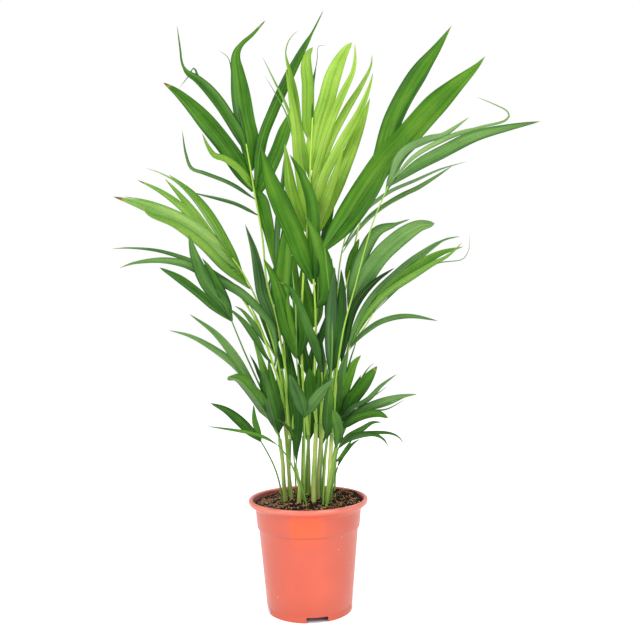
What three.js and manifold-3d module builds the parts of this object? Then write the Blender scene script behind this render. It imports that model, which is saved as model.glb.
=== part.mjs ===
// A young areca palm with many canes in a terracotta-coloured nursery pot.
// Millimetres, +Z up, origin at the middle of the pot's foot, on the surface it stands on.
import * as THREE from "three";
import { mergeVertices } from "three/addons/utils/BufferGeometryUtils.js";
import Module from "manifold-3d";

const wasm = await Module();
wasm.setup();

// ---- Driving dimensions ----

const POT = {
  height: 156.6,
  rimRadius: 85,
  collarTop: 75.6, // radii of the wall, from the rim down
  collarFoot: 73,
  bodyTop: 70.8,
  bodyFoot: 61,
  collarDrop: 40, // from the rim's top down to the step under the collar
  wall: 1.7,
  footHeight: 9,
  footRadius: 60.5,
  footWidth: 2.4, // of the ring that the pot stands on
  bevel: 0.6, // at the foot ring's edge and where it meets the body
  draft: 0.4, // that the foot ring's inside leans outwards
  stepUnder: 2, // the step's slope starts this far below it and ends this far over it
  stepOver: 1,
  stepInside: 2.4, // where the slope starts on the inside
  floor: 2,
  segments: 40,
};
const STEP = POT.height - POT.collarDrop; // height of the step under the collar
// The flared lip: heights below the rim's top, and how far it is rounded over inwards.
const LIP = {
  top: 0.4, round: 2, edge: 5.5, under: 8.5, foot: 14, footInside: 13, inside: 6, roll: 4.5, lean: 1.6,
};
const NOTCH = { count: 4, firstAngle: -79, width: 30, height: 7.5, depth: 14 };
const DRAIN = { count: 8, circle: 42, radius: 5, sides: 10 };
const SOIL = { level: 147, mound: 5, clearance: 0.3, rings: 5, edgeDrop: 6, lump: 1.1, tilt: 0.03 };
const LUMPS = [[0.31, 0.17], [-0.12, 0.37], [0.13, 0.41]]; // waves over the soil, per mm in x and y
const BURIED_TO = 120; // height at which the canes end inside the soil
const GAP = 0.3; // between two stalks that touch

// The plant's outlines are given as they look in the front elevation: a place is (x, z) on
// the plane through the pot's axis, seen from EYE, and a depth y then moves it along its sight line.
const EYE = new THREE.Vector3(20.5, -1050, 385);
const SOIL_CENTRE = new THREE.Vector2(0, 150); // on that plane, the fronds spread away from here

// A frond's share of its lane at the soil, the distance at which it's all there, and how much
// wider it gets for each mm beyond.
const FAN = { start: 0.35, near: 200, growth: 0.0018 };

// A leaflet: fold is how far its edges stand up from the midrib, for its half width; foot is its
// width at the stalk, opening where it's at full width, closing how bluntly it ends, joined how
// far along it still has the stalk's depth, and stations are the length between its rings.
const LEAFLET = {
  thickness: 1.1, fold: 0.22, least: 0.6,
  foot: 0.25, opening: 0.3, closing: 0.7, fullness: 1.62, joined: 0.6,
  station: 36, fewest: 3, most: 8,
};
// A leaf stalk: radii, sides and ring spacing; rise is its gap over the cane and straight the
// length in line with it; bend is the spacing of its curve's points, and it's in its lane after settle.
const STALK = {
  foot: 1.75, tip: 0.9, sides: 5, station: 34, rise: 0.7, straight: 5, bend: 22, settle: 150,
};
const CANE = { sides: 8, station: 20 };

// ---- Canes: radius at the foot and at the top, then places (x, z, y) ----

const CANES = {
  stem_01: [3.3, 2.8, [-31, BURIED_TO, -10], [-33, 157, -10], [-35, 180, -10],
    [-36, 205, -11], [-40, 240, -12]],
  stem_02: [2.7, 3, [-22, BURIED_TO, -3], [-24, 158, -3], [-27, 185, -3], [-30, 240, -3], [-34, 283, -3]],
  stem_03: [3.5, 2.7, [-13, BURIED_TO, -31], [-13, 155, -31], [-12, 172, -31],
    [-15, 186, -31], [-17, 197, -31]],
  stem_04: [3, 2.6, [-8, BURIED_TO, -14], [-8, 160, -14], [-7, 200, -15], [-6, 225, -15], [-5, 244, -16]],
  stem_05: [4, 3, [7, BURIED_TO, -29], [8, 155, -29], [8, 180, -29], [10, 210, -28], [13, 262, -26]],
  stem_06: [2.8, 2.5, [14, BURIED_TO, -18], [14, 157, -18], [14, 185, -18], [17, 215, -18], [21, 262, -18]],
  stem_07: [2.1, 2.1, [0, BURIED_TO, 6], [1, 158, 6], [2, 200, 5], [1, 245, 4]],
  stem_08: [2, 2.1, [20, BURIED_TO, -5], [20, 160, -5], [22, 182, -6], [24, 205, -7], [28, 236, -8]],
  stem_09: [2.9, 3, [26, BURIED_TO, -31], [27, 157, -31], [30, 178, -31], [32, 205, -31], [35, 246, -31]],
  stem_10: [2.4, 2.5, [32, BURIED_TO, -17], [32, 160, -17], [34, 190, -18], [38, 215, -19], [42, 232, -20]],
  stem_11: [2.6, 2.5, [-25, BURIED_TO, 20], [-27, 160, 20], [-27, 200, 22], [-25, 240, 24]],
  stem_12: [2.7, 2.5, [-5, BURIED_TO, 27], [-3, 160, 27], [-1, 200, 30], [2, 240, 33]],
  stem_13: [2.5, 2.6, [17, BURIED_TO, 15], [17, 160, 15], [18, 200, 16], [20, 240, 18]],
};

// ---- Fronds ----
// cane, seat: the cane that carries it and the side of the cane's top, in degrees, where its stalk
// stands, or none where a thin stalk comes out of the soil at depth foot.
// lane: its depth 200 mm out from the soil, which fans out with distance; reach bends its end further.
// stalk: the leaf stalk's places (x, z).
// leaflets: width, turn about its own line in degrees, extra depth at its tip, then places (x, z).

const FRONDS = [
  { name: "frond_01", foot: -20, lane: -66, reach: 0,
    stalk: [[-36, BURIED_TO], [-38, 158], [-43, 185], [-50, 205], [-60, 225], [-67, 237]],
    leaflets: [
      [15, 15, -60, [-67, 237], [-73, 243], [-82, 252], [-97, 267], [-117, 283], [-139, 293]],
      [10, -20, 10, [-67, 237], [-71, 250], [-76, 268], [-77, 290]],
    ] },
  { name: "frond_02", foot: -38, lane: -76, reach: 0,
    stalk: [[-2, BURIED_TO], [-4, 156], [-14, 180], [-22, 200], [-31, 218], [-42, 231]],
    leaflets: [
      [5.5, 10, -50, [-42, 231], [-60, 242], [-80, 249], [-100, 253], [-125, 257], [-145, 260]],
    ] },
  { name: "frond_03", cane: "stem_01", seat: -90, lane: -50, reach: -20,
    stalk: [[-42, 248], [-50, 262], [-58, 275]],
    leaflets: [
      [25, -25, -110, [-50, 263], [-58, 277], [-67, 291], [-76, 304], [-86, 316], [-96, 326], [-113, 331]],
      [14, 20, -20, [-58, 275], [-69, 297], [-80, 318], [-100, 355], [-130, 393], [-168, 422]],
      [12, -15, 20, [-58, 275], [-75, 308], [-98, 342], [-135, 372], [-167, 390], [-198, 399]],
      [17, 25, 10, [-42, 248], [-47, 280], [-54, 315], [-62, 342], [-68, 362], [-76, 381]],
      [20, -20, -60, [-42, 248], [-47, 268], [-53, 290], [-58, 310], [-61, 326], [-62, 338]],
      [17, 20, 0, [-42, 248], [-38, 262], [-40, 281], [-45, 301], [-50, 327], [-55, 355]],
    ] },
  { name: "frond_04", cane: "stem_01", seat: 90, lane: -14, reach: 0,
    stalk: [[-43, 256], [-50, 275], [-58, 295], [-70, 322], [-80, 345], [-90, 368], [-107, 411]],
    leaflets: [
      [24, -20, 15, [-107, 411], [-119, 436], [-133, 452], [-146, 470], [-161, 508], [-168, 537]],
      [14, 25, -25, [-107, 411], [-121, 423], [-135, 435], [-148, 447], [-178, 471], [-192, 480],
        [-211, 490]],
      [14, 10, 0, [-107, 411], [-112, 430], [-120, 450], [-130, 472], [-140, 490], [-149, 503]],
      [6, 10, 10, [-57, 306], [-62, 319], [-68, 333], [-74, 348], [-82, 363]],
    ] },
  { name: "frond_05", cane: "stem_02", seat: -90, lane: 4, reach: 0,
    stalk: [[-37, 312], [-43, 332], [-49, 350], [-57, 375], [-67, 400], [-77, 419], [-85, 434], [-93, 446]],
    leaflets: [
      [17, 20, -15, [-46, 342], [-43, 360], [-43, 378], [-48, 400], [-57, 415], [-70, 431],
        [-84, 445], [-98, 456], [-114, 465], [-127, 471], [-143, 480], [-161, 490], [-176, 496],
        [-208, 501], [-249, 497], [-269, 490]],
      [8, -10, 75, [-80, 420], [-86, 440], [-100, 460], [-125, 477], [-150, 492], [-184, 506],
        [-216, 515], [-256, 519], [-280, 518]],
      [12, 25, -25, [-48, 347], [-60, 362], [-70, 381], [-80, 397], [-90, 410], [-101, 421],
        [-113, 431]],
      [9, -10, -20, [-56, 372], [-65, 388], [-74, 403], [-84, 417], [-93, 427], [-103, 433]],
    ] },
  { name: "frond_06", cane: "stem_02", seat: 150, lane: 22, reach: 0,
    stalk: [[-35, 312], [-41, 350], [-47, 375], [-54, 400], [-61, 418], [-69, 437], [-77, 455],
      [-90, 480], [-105, 502]],
    leaflets: [
      [25, 15, -20, [-92, 480], [-125, 516], [-155, 542], [-190, 563], [-240, 583], [-277, 594]],
      [16, -15, -20, [-80, 456], [-118, 490], [-150, 524], [-190, 553], [-226, 568], [-238, 584]],
      [7, 10, 15, [-105, 502], [-140, 541], [-170, 562], [-210, 581], [-235, 589], [-262, 594]],
      [14, 15, 10, [-105, 502], [-128, 522], [-150, 549], [-180, 580], [-210, 602], [-242, 618]],
      [17, -10, 20, [-92, 480], [-112, 496], [-138, 535], [-165, 575], [-185, 600], [-202, 619]],
      [17, 20, 30, [-80, 456], [-91, 473], [-109, 513], [-134, 560], [-162, 597], [-196, 625]],
      [5, 0, 40, [-105, 502], [-135, 550], [-160, 588], [-185, 614], [-212, 629], [-230, 635]],
      [3, 0, -8, [-41, 350], [-51, 370], [-59, 384], [-64, 397], [-69, 410], [-76, 425], [-84, 440]],
    ] },
  { name: "frond_07", cane: "stem_02", seat: 30, lane: 38, reach: 0,
    stalk: [[-29, 312], [-31, 345], [-36, 377], [-41, 407], [-48, 435], [-55, 462], [-58, 490],
      [-61, 530], [-66, 563], [-71, 592], [-83, 668]],
    leaflets: [
      [20, -25, 30, [-80, 650], [-95, 684], [-109, 709], [-122, 729], [-141, 752], [-156, 766],
        [-168, 774], [-175, 787], [-178, 810], [-182, 843]],
      [32, 15, -10, [-72, 600], [-84, 622], [-118, 674], [-158, 722], [-184, 747], [-203, 760]],
      [33, 5, 20, [-77, 630], [-79, 676], [-84, 699], [-89, 731], [-92, 754], [-95, 778], [-97, 792],
        [-95, 804], [-87, 816], [-73, 828], [-53, 849]],
      [6, 0, 30, [-83, 668], [-97, 740], [-103, 775], [-108, 795], [-121, 806]],
      [6, 10, 60, [-80, 650], [-105, 695], [-135, 740], [-152, 768], [-158, 781], [-166, 769], [-180, 751]],
      [7, 10, 20, [-70, 587], [-105, 610], [-145, 627], [-163, 634], [-171, 655], [-176, 690]],
      [6, -10, 20, [-67, 563], [-80, 571], [-100, 581], [-130, 590], [-150, 595], [-166, 600]],
      [12, 0, -30, [-72, 600], [-92, 630], [-115, 648], [-129, 652], [-140, 668], [-147, 685]],
      [25, -15, -20, [-71, 592], [-62, 612], [-51, 632], [-40, 655], [-30, 682], [-17, 716]],
      [19, 20, -10, [-40, 395], [-46, 407], [-54, 428], [-62, 449], [-67, 481], [-74, 515], [-86, 551]],
      [24, 15, 5, [-72, 602], [-64, 588], [-58, 566], [-53, 543], [-49, 518], [-44, 485]],
      [17, 10, -13, [-71, 592], [-66, 625], [-64, 650], [-57, 682], [-44, 714], [-33, 739],
        [-18, 770], [-8, 789], [0, 804], [15, 830], [32, 863]],
    ] },
  { name: "frond_08", cane: "stem_11", seat: -90, lane: 26, reach: 0,
    stalk: [[-28, 270], [-30, 330], [-33, 390], [-40, 440], [-44, 475]],
    leaflets: [
      [10, 0, 0, [-44, 475], [-42, 505], [-40, 535], [-36, 575], [-31, 610], [-28, 640], [-25, 665]],
      [12, 20, 25, [-44, 475], [-36, 500], [-30, 530], [-24, 565], [-20, 600]],
    ] },
  { name: "frond_09", cane: "stem_04", seat: 0, lane: 10, reach: 0,
    stalk: [[-6, 270], [-9, 300], [-12, 330], [-14, 356]],
    leaflets: [
      [27, 20, -15, [-14, 356], [-18, 372], [-23, 390], [-28, 408], [-33, 431], [-38, 452],
        [-47, 477], [-60, 501]],
      [28, -20, 18, [-14, 356], [-22, 385], [-31, 415], [-36, 445], [-34, 476], [-31, 505],
        [-28, 530], [-24, 555]],
      [22, -20, -15, [-14, 356], [-8, 372], [-5, 392], [-7, 412], [-12, 434], [-19, 458]],
      [3, 0, -20, [-14, 356], [-14, 380], [-14, 405], [-14, 430], [-16, 455], [-19, 485]],
    ] },
  { name: "frond_10", cane: "stem_05", seat: 90, lane: -12, reach: 0,
    stalk: [[13, 280], [12, 310], [12, 335], [14, 395], [14, 430], [12, 470]],
    leaflets: [
      [31, 15, -15, [13, 463], [7, 482], [-2, 503], [-15, 538], [-25, 561], [-35, 585],
        [-46, 610], [-53, 632], [-62, 665]],
      [22, -20, 15, [13, 466], [14, 485], [14, 510], [13, 535], [12, 560], [9, 585], [3, 606],
        [-4, 624], [-12, 638], [-20, 652]],
      [26, -20, -15, [14, 430], [25, 440], [29, 453], [30, 470], [28, 489], [23, 507], [17, 525],
        [11, 542], [2, 563]],
    ] },
  { name: "frond_11", cane: "stem_07", seat: 0, lane: 15, reach: 0,
    stalk: [[-2, 280], [-6, 340], [-7, 400], [-5, 440], [-2, 483], [4, 545], [8, 590], [10, 640],
      [14, 705]],
    leaflets: [
      [10, 0, 10, [9, 615], [-5, 690], [-10, 733], [-14, 755], [-18, 772], [-22, 788], [-24, 801],
        [-21, 815], [-15, 825], [-6, 833]],
      [18, 15, -10, [5, 560], [-1, 600], [-6, 640], [-10, 690], [-17, 738], [-24, 778]],
      [20, -10, 10, [12, 670], [8, 690], [7, 707], [7, 732], [7, 758], [5, 782], [8, 799], [16, 809]],
      [6, 20, 30, [13, 690], [14, 725], [15, 754], [19, 775], [22, 792], [24, 810], [35, 811]],
      [27, 10, 0, [10, 630], [22, 690], [35, 732], [42, 758], [48, 775], [56, 792], [64, 805], [73, 815]],
      [13, -15, -15, [8, 590], [35, 685], [57, 738], [73, 771], [77, 792], [77, 813]],
      [13, 15, 15, [6, 570], [37, 665], [63, 715], [85, 750], [100, 780], [102, 797]],
      [16, -10, -10, [4, 545], [32, 625], [55, 667], [82, 713], [98, 752], [103, 770]],
      [22, 10, 20, [4, 520], [17, 545], [33, 575], [48, 606], [64, 645], [85, 695], [98, 733]],
      [16, 0, -20, [2, 512], [11, 535], [24, 565], [36, 597], [49, 632], [60, 668]],
      [20, 10, 10, [3, 540], [-9, 565], [-18, 600], [-23, 635], [-27, 668]],
      [5, 0, 15, [9, 615], [-8, 665], [-22, 718], [-42, 762], [-58, 796]],
      [3, 0, 20, [5, 600], [-10, 650], [-18, 690], [-25, 713], [-40, 742], [-55, 768]],
    ] },
  { name: "frond_12", cane: "stem_08", seat: 0, lane: -24, reach: 0,
    stalk: [[31, 280], [34, 320], [37, 360], [38, 400], [36, 440], [32, 480], [29, 515]],
    leaflets: [
      [31, -15, 12, [29, 515], [58, 548], [86, 585], [105, 620], [115, 650], [122, 678], [130, 702],
        [144, 730], [160, 756], [177, 781], [195, 804], [219, 838]],
      [36, 20, -20, [29, 515], [62, 560], [94, 608], [121, 645], [143, 667], [166, 692], [189, 717],
        [224, 750], [255, 778], [267, 792]],
      [21, 15, -8, [36, 335], [38, 355], [37, 385], [38, 418], [40, 455], [43, 487]],
      [20, -20, 5, [37, 338], [42, 365], [47, 395], [51, 425], [53, 455], [52, 484]],
    ] },
  { name: "frond_13", cane: "stem_09", seat: -90, lane: -60, reach: 0,
    stalk: [[37, 282], [39, 300], [46, 350], [55, 400], [70, 452], [85, 505], [100, 553], [122, 603]],
    leaflets: [
      [13, -20, 15, [122, 603], [125, 615], [129, 626], [136, 643], [148, 657], [166, 666],
        [185, 673], [203, 677], [216, 685], [242, 703]],
      [7, 20, 20, [122, 603], [140, 625], [157, 643], [179, 658], [199, 668], [220, 677], [259, 688],
        [294, 697], [300, 704], [297, 711], [283, 719], [254, 732]],
      [18, 10, -25, [122, 603], [166, 634], [201, 652], [250, 675], [300, 687], [345, 695]],
      [12, -15, 10, [118, 594], [128, 618], [139, 640], [155, 655], [170, 664]],
    ] },
  { name: "frond_14", cane: "stem_13", seat: -150, lane: 12, reach: 0,
    stalk: [[20, 280], [28, 340], [37, 390], [45, 430], [47, 460], [50, 490], [55, 515], [63, 545]],
    leaflets: [
      [6, 10, 20, [55, 515], [90, 570], [110, 586], [127, 597], [163, 612], [198, 627], [237, 638]],
      [8, -10, -20, [55, 515], [95, 560], [125, 581], [145, 592], [163, 600], [189, 615], [216, 632]],
      [5, 0, 40, [60, 535], [76, 562], [95, 585], [108, 600], [118, 612]],
      [5, 15, 30, [63, 545], [73, 570], [84, 590], [95, 612], [105, 632]],
      [4, 0, -30, [53, 505], [70, 532], [92, 555], [120, 575], [150, 590]],
    ] },
  { name: "frond_15", cane: "stem_13", seat: -30, lane: 3, reach: 0,
    stalk: [[28, 280], [38, 350], [46, 410], [53, 440], [60, 462], [72, 518], [86, 572], [98, 610]],
    leaflets: [
      [13, -10, -10, [60, 462], [63, 480], [68, 500], [74, 516], [79, 528]],
      [5, 0, 10, [94, 598], [104, 618], [112, 632]],
    ] },
  { name: "frond_16", cane: "stem_09", seat: 150, lane: -6, reach: 0,
    stalk: [[35, 290], [39, 330], [48, 372], [55, 398], [63, 425]],
    leaflets: [
      [20, 15, 10, [63, 425], [72, 468], [86, 508], [106, 538], [130, 547], [153, 555]],
      [28, -15, -15, [63, 425], [80, 460], [109, 503], [130, 523], [143, 533], [156, 541], [168, 546],
        [189, 548]],
    ] },
  { name: "frond_17", cane: "stem_09", seat: 30, lane: -20, reach: 0,
    stalk: [[41, 300], [47, 330], [55, 356], [65, 373], [76, 388], [88, 404], [98, 420]],
    leaflets: [
      [16, 15, 10, [58, 362], [76, 405], [102, 445], [135, 476], [166, 501], [202, 524], [225, 529]],
      [15, -10, 10, [98, 420], [108, 446], [124, 461], [140, 473], [161, 486], [196, 505], [230, 514]],
      [13, 20, -20, [65, 373], [86, 412], [108, 438], [124, 452], [156, 472], [188, 491], [204, 499],
        [217, 509], [228, 520]],
      [3, 0, 20, [98, 420], [150, 468], [190, 490], [212, 493], [223, 494], [230, 497], [235, 504],
        [238, 512], [239, 532]],
      [14, 0, 8, [50, 347], [58, 392], [67, 422], [78, 441], [92, 457], [107, 470], [130, 485]],
      [9, 25, -60, [58, 362], [76, 384], [92, 397], [107, 406], [131, 413], [155, 414], [191, 407]],
    ] },
  { name: "frond_18", cane: "stem_10", seat: 90, lane: -43, reach: 0,
    stalk: [[43, 245], [44, 258], [45, 270]],
    leaflets: [
      [18, 15, 0, [45, 270], [49, 288], [53, 305], [64, 337], [71, 350], [79, 359]],
      [14, 15, -6, [45, 270], [51, 300], [51, 322], [53, 341], [61, 368]],
      [20, -20, -10, [45, 270], [54, 282], [70, 302], [87, 324], [102, 343]],
      [4, 0, 10, [45, 270], [65, 300], [77, 320], [85, 335], [91, 342], [98, 348]],
      [9, 0, 15, [45, 270], [55, 286], [62, 300], [69, 313], [79, 331]],
      [3, 0, -5, [45, 270], [54, 318], [62, 348], [70, 372], [79, 398]],
    ] },
  { name: "frond_19", cane: "stem_10", seat: -90, lane: -53, reach: -15,
    stalk: [[44, 250], [46, 262]],
    leaflets: [
      [9, 15, -10, [46, 262], [62, 281], [88, 295], [108, 315], [130, 331]],
      [12, -10, -30, [46, 262], [70, 276], [100, 289], [130, 298], [159, 302]],
      [3, 0, 10, [46, 262], [70, 284], [92, 297], [117, 314]],
      [13, 10, -60, [44, 250], [56, 259], [68, 267], [84, 273], [96, 275], [105, 274], [117, 268]],
      [3, 0, 30, [46, 262], [85, 278], [115, 281], [142, 295]],
      [3, 0, -30, [44, 250], [62, 262], [90, 271], [101, 276]],
      [5, 0, 0, [46, 262], [75, 277], [118, 288], [146, 300]],
    ] },
  { name: "frond_20", foot: -26, lane: -62, reach: -10,
    stalk: [[30, BURIED_TO], [33, 158], [36, 180], [39, 205], [44, 225]],
    leaflets: [
      [10, 10, -20, [44, 225], [58, 241], [78, 252], [94, 262], [107, 262]],
      [7, -15, -90, [44, 225], [62, 242], [90, 247], [120, 246], [132, 240], [139, 230]],
      [7, 0, -110, [44, 225], [60, 238], [92, 245], [105, 241], [112, 235], [116, 227]],
      [6, 0, 10, [39, 205], [47, 212], [54, 222], [65, 240]],
    ] },
  { name: "frond_21", foot: -8, lane: -14, reach: 0,
    stalk: [[30, BURIED_TO], [34, 160], [36, 176], [39, 189], [43, 199]],
    leaflets: [
      [6, 0, -20, [43, 199], [49, 213], [56, 222], [64, 231], [76, 239]],
    ] },
  { name: "frond_22", foot: -26, lane: -62, reach: 0,
    stalk: [[-7, BURIED_TO], [-6, 160], [-5, 200], [-4, 240], [-4, 270]],
    leaflets: [
      [22, -20, -25, [-4, 270], [-8, 285], [-13, 300], [-18, 314], [-25, 333]],
      [18, 20, -30, [-4, 270], [4, 284], [14, 297], [26, 311], [41, 327]],
    ] },
  { name: "frond_23", foot: -42, lane: -74, reach: 0,
    stalk: [[25, BURIED_TO], [28, 160], [33, 190], [37, 212], [41, 226]],
    leaflets: [
      [17, 25, -30, [41, 226], [45, 238], [46, 250], [43, 265], [37, 281]],
    ] },
  { name: "frond_24", cane: "stem_03", seat: 0, lane: -40, reach: 0,
    stalk: [[-16.5, 203], [-16, 208]],
    leaflets: [
      [15, 10, 0, [-16, 208], [-16, 228], [-14, 248], [-13, 270], [-16, 295], [-22, 350]],
      [7, -15, -20, [-16, 208], [-18, 235], [-23, 250], [-37, 265], [-46, 270]],
      [6, 0, -8, [-16, 208], [-17, 235], [-21, 258], [-20, 276]],
    ] },
  { name: "frond_25", cane: "stem_05", seat: -90, lane: -25, reach: 0,
    stalk: [[12, 270], [10, 280]],
    leaflets: [
      [22, 10, -10, [10, 280], [8, 300], [6, 320], [4, 342]],
      [10, -15, 5, [10, 280], [14, 300], [18, 340], [21, 362]],
    ] },
  { name: "frond_26", cane: "stem_06", seat: 0, lane: -43, reach: 0,
    stalk: [[22, 285], [23, 310], [22, 335]],
    leaflets: [
      [17, 20, -10, [22, 335], [18, 358], [12, 378], [5, 396], [-5, 425], [-14, 445], [-24, 459],
        [-40, 468]],
      [10, -20, 10, [23, 310], [27, 322], [30, 336]],
    ] },
  { name: "frond_27", cane: "stem_11", seat: 90, lane: 60, reach: 60,
    stalk: [[-27, 280], [-32, 320], [-38, 360], [-44, 400], [-47, 430]],
    leaflets: [
      [15, 35, 50, [-34, 340], [-47, 380], [-58, 405], [-71, 430]],
      [14, -35, 50, [-34, 340], [-28, 385], [-18, 410], [-8, 425]],
      [13, 35, 70, [-40, 380], [-50, 420], [-54, 450], [-50, 475]],
      [13, -35, 50, [-40, 380], [-34, 425], [-22, 455], [-14, 468]],
      [12, 40, 80, [-47, 430], [-46, 460], [-42, 490], [-36, 510]],
    ] },
  { name: "frond_28", cane: "stem_12", seat: 90, lane: 82, reach: 64,
    stalk: [[2, 280], [2, 330], [0, 370], [-3, 400], [-6, 425]],
    leaflets: [
      [14, 35, 30, [2, 330], [-10, 365], [-24, 390], [-38, 405]],
      [14, -35, 30, [2, 330], [8, 360], [13, 380], [18, 394]],
      [13, 35, 40, [-1, 385], [-14, 415], [-26, 435], [-38, 445]],
      [20, -25, 40, [-1, 385], [6, 410], [11, 432], [14, 460]],
      [24, 20, 40, [-6, 425], [-13, 448], [-17, 478], [-15, 512]],
    ] },
  { name: "frond_29", cane: "stem_12", seat: -90, lane: 55, reach: 30,
    stalk: [[5, 290], [10, 340], [15, 400], [18, 450], [18, 490]],
    leaflets: [
      [14, 35, 30, [8, 320], [-4, 370], [-14, 400], [-22, 420]],
      [14, -35, 40, [10, 350], [22, 390], [32, 420], [38, 445]],
      [24, 25, 40, [15, 400], [5, 435], [-1, 465], [-3, 500]],
      [18, -25, 60, [17, 430], [27, 455], [34, 478], [39, 500]],
      [12, 35, 60, [18, 490], [12, 520], [6, 545], [0, 560]],
      [15, -15, 40, [18, 490], [25, 515], [32, 545], [40, 590], [48, 625], [52, 652]],
      [17, 15, 60, [15, 400], [18, 425], [19, 450], [18, 480]],
    ] },
  { name: "frond_30", cane: "stem_13", seat: 90, lane: 72, reach: 46,
    stalk: [[24, 280], [30, 330], [35, 370], [39, 405], [41, 430]],
    leaflets: [
      [14, 35, 40, [28, 310], [25, 345], [23, 370], [22, 390]],
      [14, -35, 40, [31, 340], [42, 370], [48, 390], [50, 410]],
      [13, 35, 55, [36, 380], [33, 410], [31, 430], [30, 448]],
      [13, -35, 62, [39, 405], [46, 430], [50, 450], [50, 470]],
      [12, 15, 70, [41, 430], [42, 455], [42, 475], [40, 490]],
    ] },
  { name: "frond_31", foot: -40, lane: -60, reach: 0,
    stalk: [[20, BURIED_TO], [22, 160], [25, 200], [28, 240]],
    leaflets: [
      [18, -20, -20, [28, 240], [29, 265], [30, 280], [32, 297], [33, 315]],
    ] },
  { name: "frond_32", foot: 38, lane: 96, reach: 0,
    stalk: [[-16, BURIED_TO], [-17, 160], [-19, 200], [-21, 238]],
    leaflets: [
      [21, 15, 0, [-21, 238], [-27, 262], [-33, 292], [-38, 325], [-42, 356]],
      [24, -15, 10, [-21, 238], [-19, 262], [-20, 292], [-23, 330], [-29, 387]],
    ] },
  { name: "frond_33", foot: 50, lane: 116, reach: 0,
    stalk: [[3, BURIED_TO], [3, 160], [2, 200], [1, 236]],
    leaflets: [
      [20, 15, 0, [1, 236], [-3, 262], [-7, 292], [-9, 325], [-11, 352]],
      [20, -15, 10, [1, 236], [6, 260], [9, 290], [9, 325], [7, 354]],
    ] },
  { name: "frond_34", foot: 38, lane: 96, reach: 0,
    stalk: [[23, BURIED_TO], [23, 160], [22, 200], [21, 232]],
    leaflets: [
      [19, 15, 0, [21, 232], [18, 258], [17, 288], [18, 320], [19, 348]],
      [18, -15, 10, [21, 232], [26, 256], [31, 285], [33, 318], [33, 347]],
    ] },
  { name: "frond_35", foot: 36, lane: 116, reach: 0,
    stalk: [[37, BURIED_TO], [38, 160], [40, 200], [43, 232]],
    leaflets: [
      [18, 10, 0, [43, 232], [42, 258], [41, 288], [42, 320], [45, 350]],
      [18, -15, 10, [43, 232], [49, 256], [54, 283], [58, 310], [61, 335]],
    ] },
];

// ---- Looks ----

const plastic = new THREE.Color(0xd9634a);
const earth = new THREE.Color(0x2e231b);
const caneGreen = new THREE.Color(0x9db56a);
const leafGreen = new THREE.Color(0x3f7a2a);

function finish(colour, roughness) {
  return new THREE.MeshStandardMaterial({ color: colour, roughness, metalness: 0 });
}

// ---- Solids ----

function solidOf(geometry) {
  const bare = geometry.clone();
  bare.deleteAttribute("normal");
  bare.deleteAttribute("uv");
  const merged = mergeVertices(bare, 1e-4);
  return new wasm.Manifold(
    new wasm.Mesh({
      numProp: 3,
      vertProperties: merged.getAttribute("position").array,
      triVerts: new Uint32Array(merged.index.array),
    }),
  );
}

function geometryOf(solid) {
  const mesh = solid.getMesh();
  return new THREE.BufferGeometry()
    .setAttribute("position", new THREE.BufferAttribute(mesh.vertProperties, 3))
    .setIndex(new THREE.BufferAttribute(mesh.triVerts, 1));
}

// A closed body through rings of equally many points, each ring turning left about the
// direction of travel. A last ring of one point closes it in a tip.
function loft(rings) {
  const points = rings.flat();
  const sides = rings[0].length;
  const faces = [];
  const last = rings.length - 1;
  for (let side = 2; side < sides; side++) faces.push(0, side, side - 1);
  for (let ring = 0; ring < last; ring++) {
    const here = ring * sides;
    const tip = rings[ring + 1].length === 1;
    for (let side = 0; side < sides; side++) {
      const next = (side + 1) % sides;
      const above = here + sides + (tip ? 0 : side);
      faces.push(here + side, here + next, above);
      if (!tip) faces.push(here + next, here + sides + next, above);
    }
  }
  if (rings[last].length > 1) {
    const top = last * sides;
    for (let side = 2; side < sides; side++) faces.push(top, top + side - 1, top + side);
  }
  const position = new Float32Array(points.flatMap((point) => point.toArray()));
  return new THREE.BufferGeometry()
    .setAttribute("position", new THREE.BufferAttribute(position, 3))
    .setIndex(faces);
}

// ---- Placing ----

function place(x, z, y) {
  const nearer = 1 + y / -EYE.y;
  return new THREE.Vector3(EYE.x + (x - EYE.x) * nearer, y, EYE.z + (z - EYE.z) * nearer);
}

// How far a frond's lane has fanned out at a place of the front elevation.
function fan(x, z) {
  const distance = Math.hypot(x - SOIL_CENTRE.x, z - SOIL_CENTRE.y);
  if (distance < FAN.near) return THREE.MathUtils.lerp(FAN.start, 1, distance / FAN.near);
  return 1 + (distance - FAN.near) * FAN.growth;
}

function smoothCurve(points) {
  return new THREE.CatmullRomCurve3(points, false, "centripetal");
}

function flatCurve(places) {
  return smoothCurve(places.map(([x, z]) => new THREE.Vector3(x, 0, z)));
}

// The leaf stalk of a frond as a curve in space, from the depth of its foot into its lane.
function stalkCurve(frond, foot, places) {
  const flat = flatCurve(places);
  const length = flat.getLength();
  const steps = Math.max(4, Math.round(length / STALK.bend));
  const points = [];
  for (let step = 0; step <= steps; step++) {
    const share = step / steps;
    const at = flat.getPointAt(share);
    const settled = THREE.MathUtils.smoothstep(share * length, 0, STALK.settle);
    const lane = frond.lane * fan(at.x, at.z) + frond.reach * share * share;
    points.push(place(at.x, at.z, THREE.MathUtils.lerp(foot, lane, settled)));
  }
  return smoothCurve(points);
}

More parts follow.
